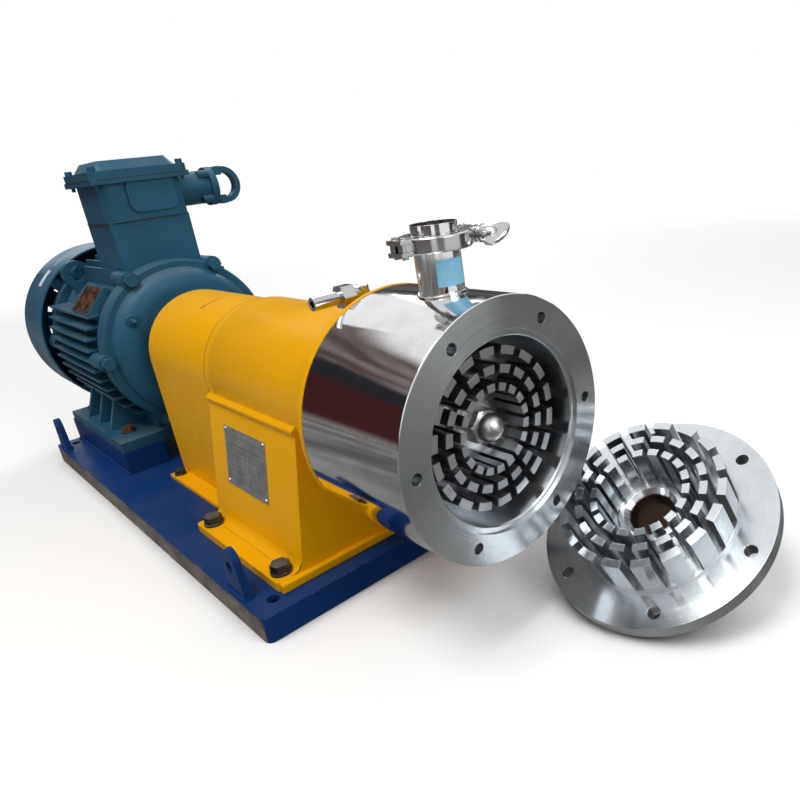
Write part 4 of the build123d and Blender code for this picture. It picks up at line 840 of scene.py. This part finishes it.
paddle = (np.array((nut_x + 0.0158, bolt_y, bolt_z))
          + (paddle_length * np.cos(a) * flat)[..., None] * (1, 0, 0)
          + (paddle_width * np.sin(a) * flat)[..., None] * spread + (paddle_thick * thick)[..., None] * lean)
wings = skins("wing_nut_cast", [hub, paddle.transpose(1, 0, 2)], tumbled, loop_v=True)
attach(wings, "wing")
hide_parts("wing_nut")

# Swing bolt and gasket: the thread is a helix in the finish, one turn for each pitch
# of 1.25 mm along the bolt, with painted shade in its roots, and the gasket is plain white rubber.
turns_per_metre, turns_per_radian = 800.0, 0.159155
threaded, tree, shader, out = finish("threaded_steel")
place = add(tree, "ShaderNodeSeparateXYZ", Vector=here(tree)).outputs
angle = calc(tree, "ARCTAN2", calc(tree, "SUBTRACT", place["Z"], bolt_z),
             calc(tree, "SUBTRACT", place["Y"], bolt_y))
helix = calc(tree, "ADD", calc(tree, "MULTIPLY", place["X"], turns_per_metre),
             calc(tree, "MULTIPLY", angle, turns_per_radian))
crest = calc(tree, "PINGPONG", calc(tree, "FRACT", helix), 0.5)
ridge = span(tree, crest, 0.0, 0.4)
# Painted shade: the thread's roots are coloured dark and its crests pale.
feed(tree, shader, Base_Color=blend(tree, ridge, (0.16, 0.16, 0.16), (0.58, 0.58, 0.58)),
     Roughness=span(tree, crest, 0.05, 0.4, 0.16, 0.34), Normal=bumped(tree, crest, 0.0009), Metallic=1.0)
joined("swing_bolt", threaded)
white_seal = mottled("white_seal", 260.0, (0.70, 0.69, 0.65), (0.80, 0.79, 0.76), (0.3, 0.7, 0.4, 0.6),
                     detail=3.0)[0]
joined("outlet_gasket", white_seal)


# Rotor and shaft parts: milled from solid stainless, tooth ends pale from the last
# facing cut, the slots between them painted dark as shade, with a domed hexagon nut in the middle.
milled, tree, shader, out = finish("milled_teeth")
skin = add(tree, "ShaderNodeGroup", node_tree=lathe, Lines=1900.0, Base=0.30, **on_shaft).outputs
toned = blend(tree, skin["Tone"], (0.0, 0.0, 0.0), (0.56, 0.57, 0.58))
# Painted shade: the colour turns near black where the teeth close round a spot.
hollow = span(tree, open_sky(tree, 0.020, 6), 0.10, 0.62)
feed(tree, shader, Base_Color=blend(tree, hollow, (0.035, 0.035, 0.037), toned), Roughness=skin["Roughness"],
     Normal=bumped(tree, skin["Height"], 0.00003, 0.0004), Metallic=1.0)
joined("rotor", milled)

# The nut's rows go along the shaft, each with its radius round it: washer face,
# hexagon with its chamfer, neck, and the dome as a quarter circle.
nut_x, half_flats, dome_radius, dome_x = 0.5140, 0.0142, 0.0128, 0.0194
nut_steel = stainless("nut_steel", (0.62, 0.62, 0.62), polish, depth=0.0003, radius=0.0008, Base=0.27,
                      Wave=0.4)
way = np.linspace(0, 2 * np.pi, 96, endpoint=False)
hexagon = half_flats / np.cos((way + np.radians(12)) % (np.pi / 3) - np.pi / 6)
rows = [(0.0, 0.0), (0.0, 0.0190), (0.0025, 0.0190), (0.0026, hexagon), (0.0140, hexagon),
        (0.0152, np.minimum(hexagon, 0.0150)), (0.0162, np.minimum(hexagon, 0.0136)), (0.0164, 0.0121)]
for q in np.radians(np.linspace(0, 90, 14)):
    rows.append((dome_x + dome_radius * np.sin(q), dome_radius * np.cos(q)))
acorn = np.stack([np.stack((nut_x + x + 0 * way, r * np.cos(way), shaft_z + r * np.sin(way)), -1)
                  for x, r in rows])
acorn = skins("acorn_nut", [acorn], nut_steel, loop_v=True)
acorn.data.set_sharp_from_angle(angle=np.radians(24))
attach(acorn, home["rotor_nut"])
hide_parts("rotor_nut")
for node in ("pump_shaft", "motor_shaft", "rotor_key", "seal_rotary", "seal_housing"):
    joined(node, machined)


# Stator cover: turned from a stainless forging, three rings of teeth cut by
# milling slots across them, six bolt holes, and the inlet tube below. It lies on
# the floor on its flange's edge and the inlet ferrule, teeth upwards.
lean_angle, swing_angle = np.radians(30.9), np.radians(-2.8)
tipped = np.sin(lean_angle)
axis = (np.sin(swing_angle) * tipped, -np.cos(swing_angle) * tipped, np.cos(lean_angle))
heart = (0.6078, 0.1282, 0.070730)

# The slot's flanks, which face round the axis, are left rougher by the milling cutter and
# are painted dark as shade, and the bore, from its outside to its inside radius, is painted
# dark brown as shade and reflection. Deep hollows are painted near black as shade.
for node, outside, inside in (("stator_cover", 0.0232, 0.0212), ("inlet_pipe", 0.0247, 0.0242)):
    cover_steel, tree, shader, out = finish("cover_steel_" + node)
    skin = add(tree, "ShaderNodeGroup", node_tree=lathe, Centre=heart, Axis=axis, Lines=2400.0,
               Base=0.17).outputs
    around = combed(tree, shader, heart, axis, amount=0.86)
    inner = vector(tree, "LENGTH", around, out="Value")
    flank = vector(tree, "DOT_PRODUCT", vector(tree, "NORMALIZE", around), facing(tree), "Value")
    flank = span(tree, calc(tree, "ABSOLUTE", flank), 0.45, 0.80)
    toned = blend(tree, skin["Tone"], (0.0, 0.0, 0.0), (0.71, 0.75, 0.78))
    # Painted shade: the flanks' colour is darkened.
    toned = blend(tree, calc(tree, "MULTIPLY", flank, 0.75), toned, (0.16, 0.165, 0.165))
    # Painted shade and reflection: the bore is coloured dark brown.
    toned = blend(tree, span(tree, inner, outside, inside), toned, (0.150, 0.100, 0.075))
    # Painted shade: the colour turns near black in deep hollows.
    hollow = span(tree, open_sky(tree, 0.018, 6), 0.08, 0.55)
    feed(tree, shader, Base_Color=blend(tree, hollow, (0.05, 0.05, 0.052), toned), Metallic=1.0,
         Roughness=calc(tree, "ADD", skin["Roughness"], calc(tree, "MULTIPLY", flank, 0.16)),
         Normal=bumped(tree, skin["Height"], 0.000010, 0.0005))
    joined(node, cover_steel)


# Inner parts of motor, bearings and coupling: ground rings, laminated core, varnished
# copper, iron hubs, a red spider, moulded fan and terminal block, lid screws.
ground = stainless("ground_steel", (0.50, 0.50, 0.51), lathe, depth=0.00002, Lines=2400.0, Base=0.20,
                   **on_shaft)
core = mottled("laminated_core", (2000.0, 8.0, 8.0), (0.16, 0.17, 0.18), (0.34, 0.35, 0.36),
               (0.3, 0.7, 0.35, 0.6), 0.0002, 1.0, detail=2.0)[0]
copper = mottled("varnished_copper", (900.0, 60.0, 60.0), (0.30, 0.11, 0.035), (0.62, 0.27, 0.10),
                 (0.3, 0.7, 0.25, 0.45), 0.0006, 0.7, detail=3.0)[0]
iron = coat("hub_iron", paint=(0.055, 0.055, 0.058), bare=(0.25, 0.24, 0.23), grain=500.0, chips=0.4,
            dust=0.1, gloss=0.5, lumps=0.9, depth=0.0004)[0]
jelly = coat("spider_rubber", paint=(0.30, 0.020, 0.012), bare=(0.30, 0.04, 0.03), grain=800.0, chips=0.0,
             dust=0.1, gloss=0.45, lumps=0.2, depth=0.0001)[0]
moulded = coat("moulded_black", paint=(0.022, 0.022, 0.024), bare=(0.06, 0.06, 0.06), grain=900.0, chips=0.1,
               dust=0.25, gloss=0.42, lumps=0.2, depth=0.0001)[0]
ceramic = coat("seal_ceramic", paint=(0.72, 0.70, 0.64), bare=(0.6, 0.6, 0.55), grain=1200.0, chips=0.0,
               dust=0.0, gloss=0.2, lumps=0.1, depth=0.00005)[0]
for nodes, material, slot_name in (
        (("motor_bearing_outers", "motor_bearing_inners", "pump_bearing_outers", "pump_bearing_inners",
          "bearing_covers"), ground, "bearing_steel"),
        (("stator_core", "motor_rotor"), core, "core_steel"), (("stator_windings",), copper, "copper"),
        (("motor_hub", "pump_hub"), iron, "hub_iron"), (("coupling_spider",), jelly, "spider_rubber"),
        (("cooling_fan", "terminal_block"), moulded, "dark_plastic"), (("seal_seat",), ceramic, "seal_ring"),
        (("lid_screws",), cast, "teal_paint")):
    for node in nodes:
        joined(node, material)
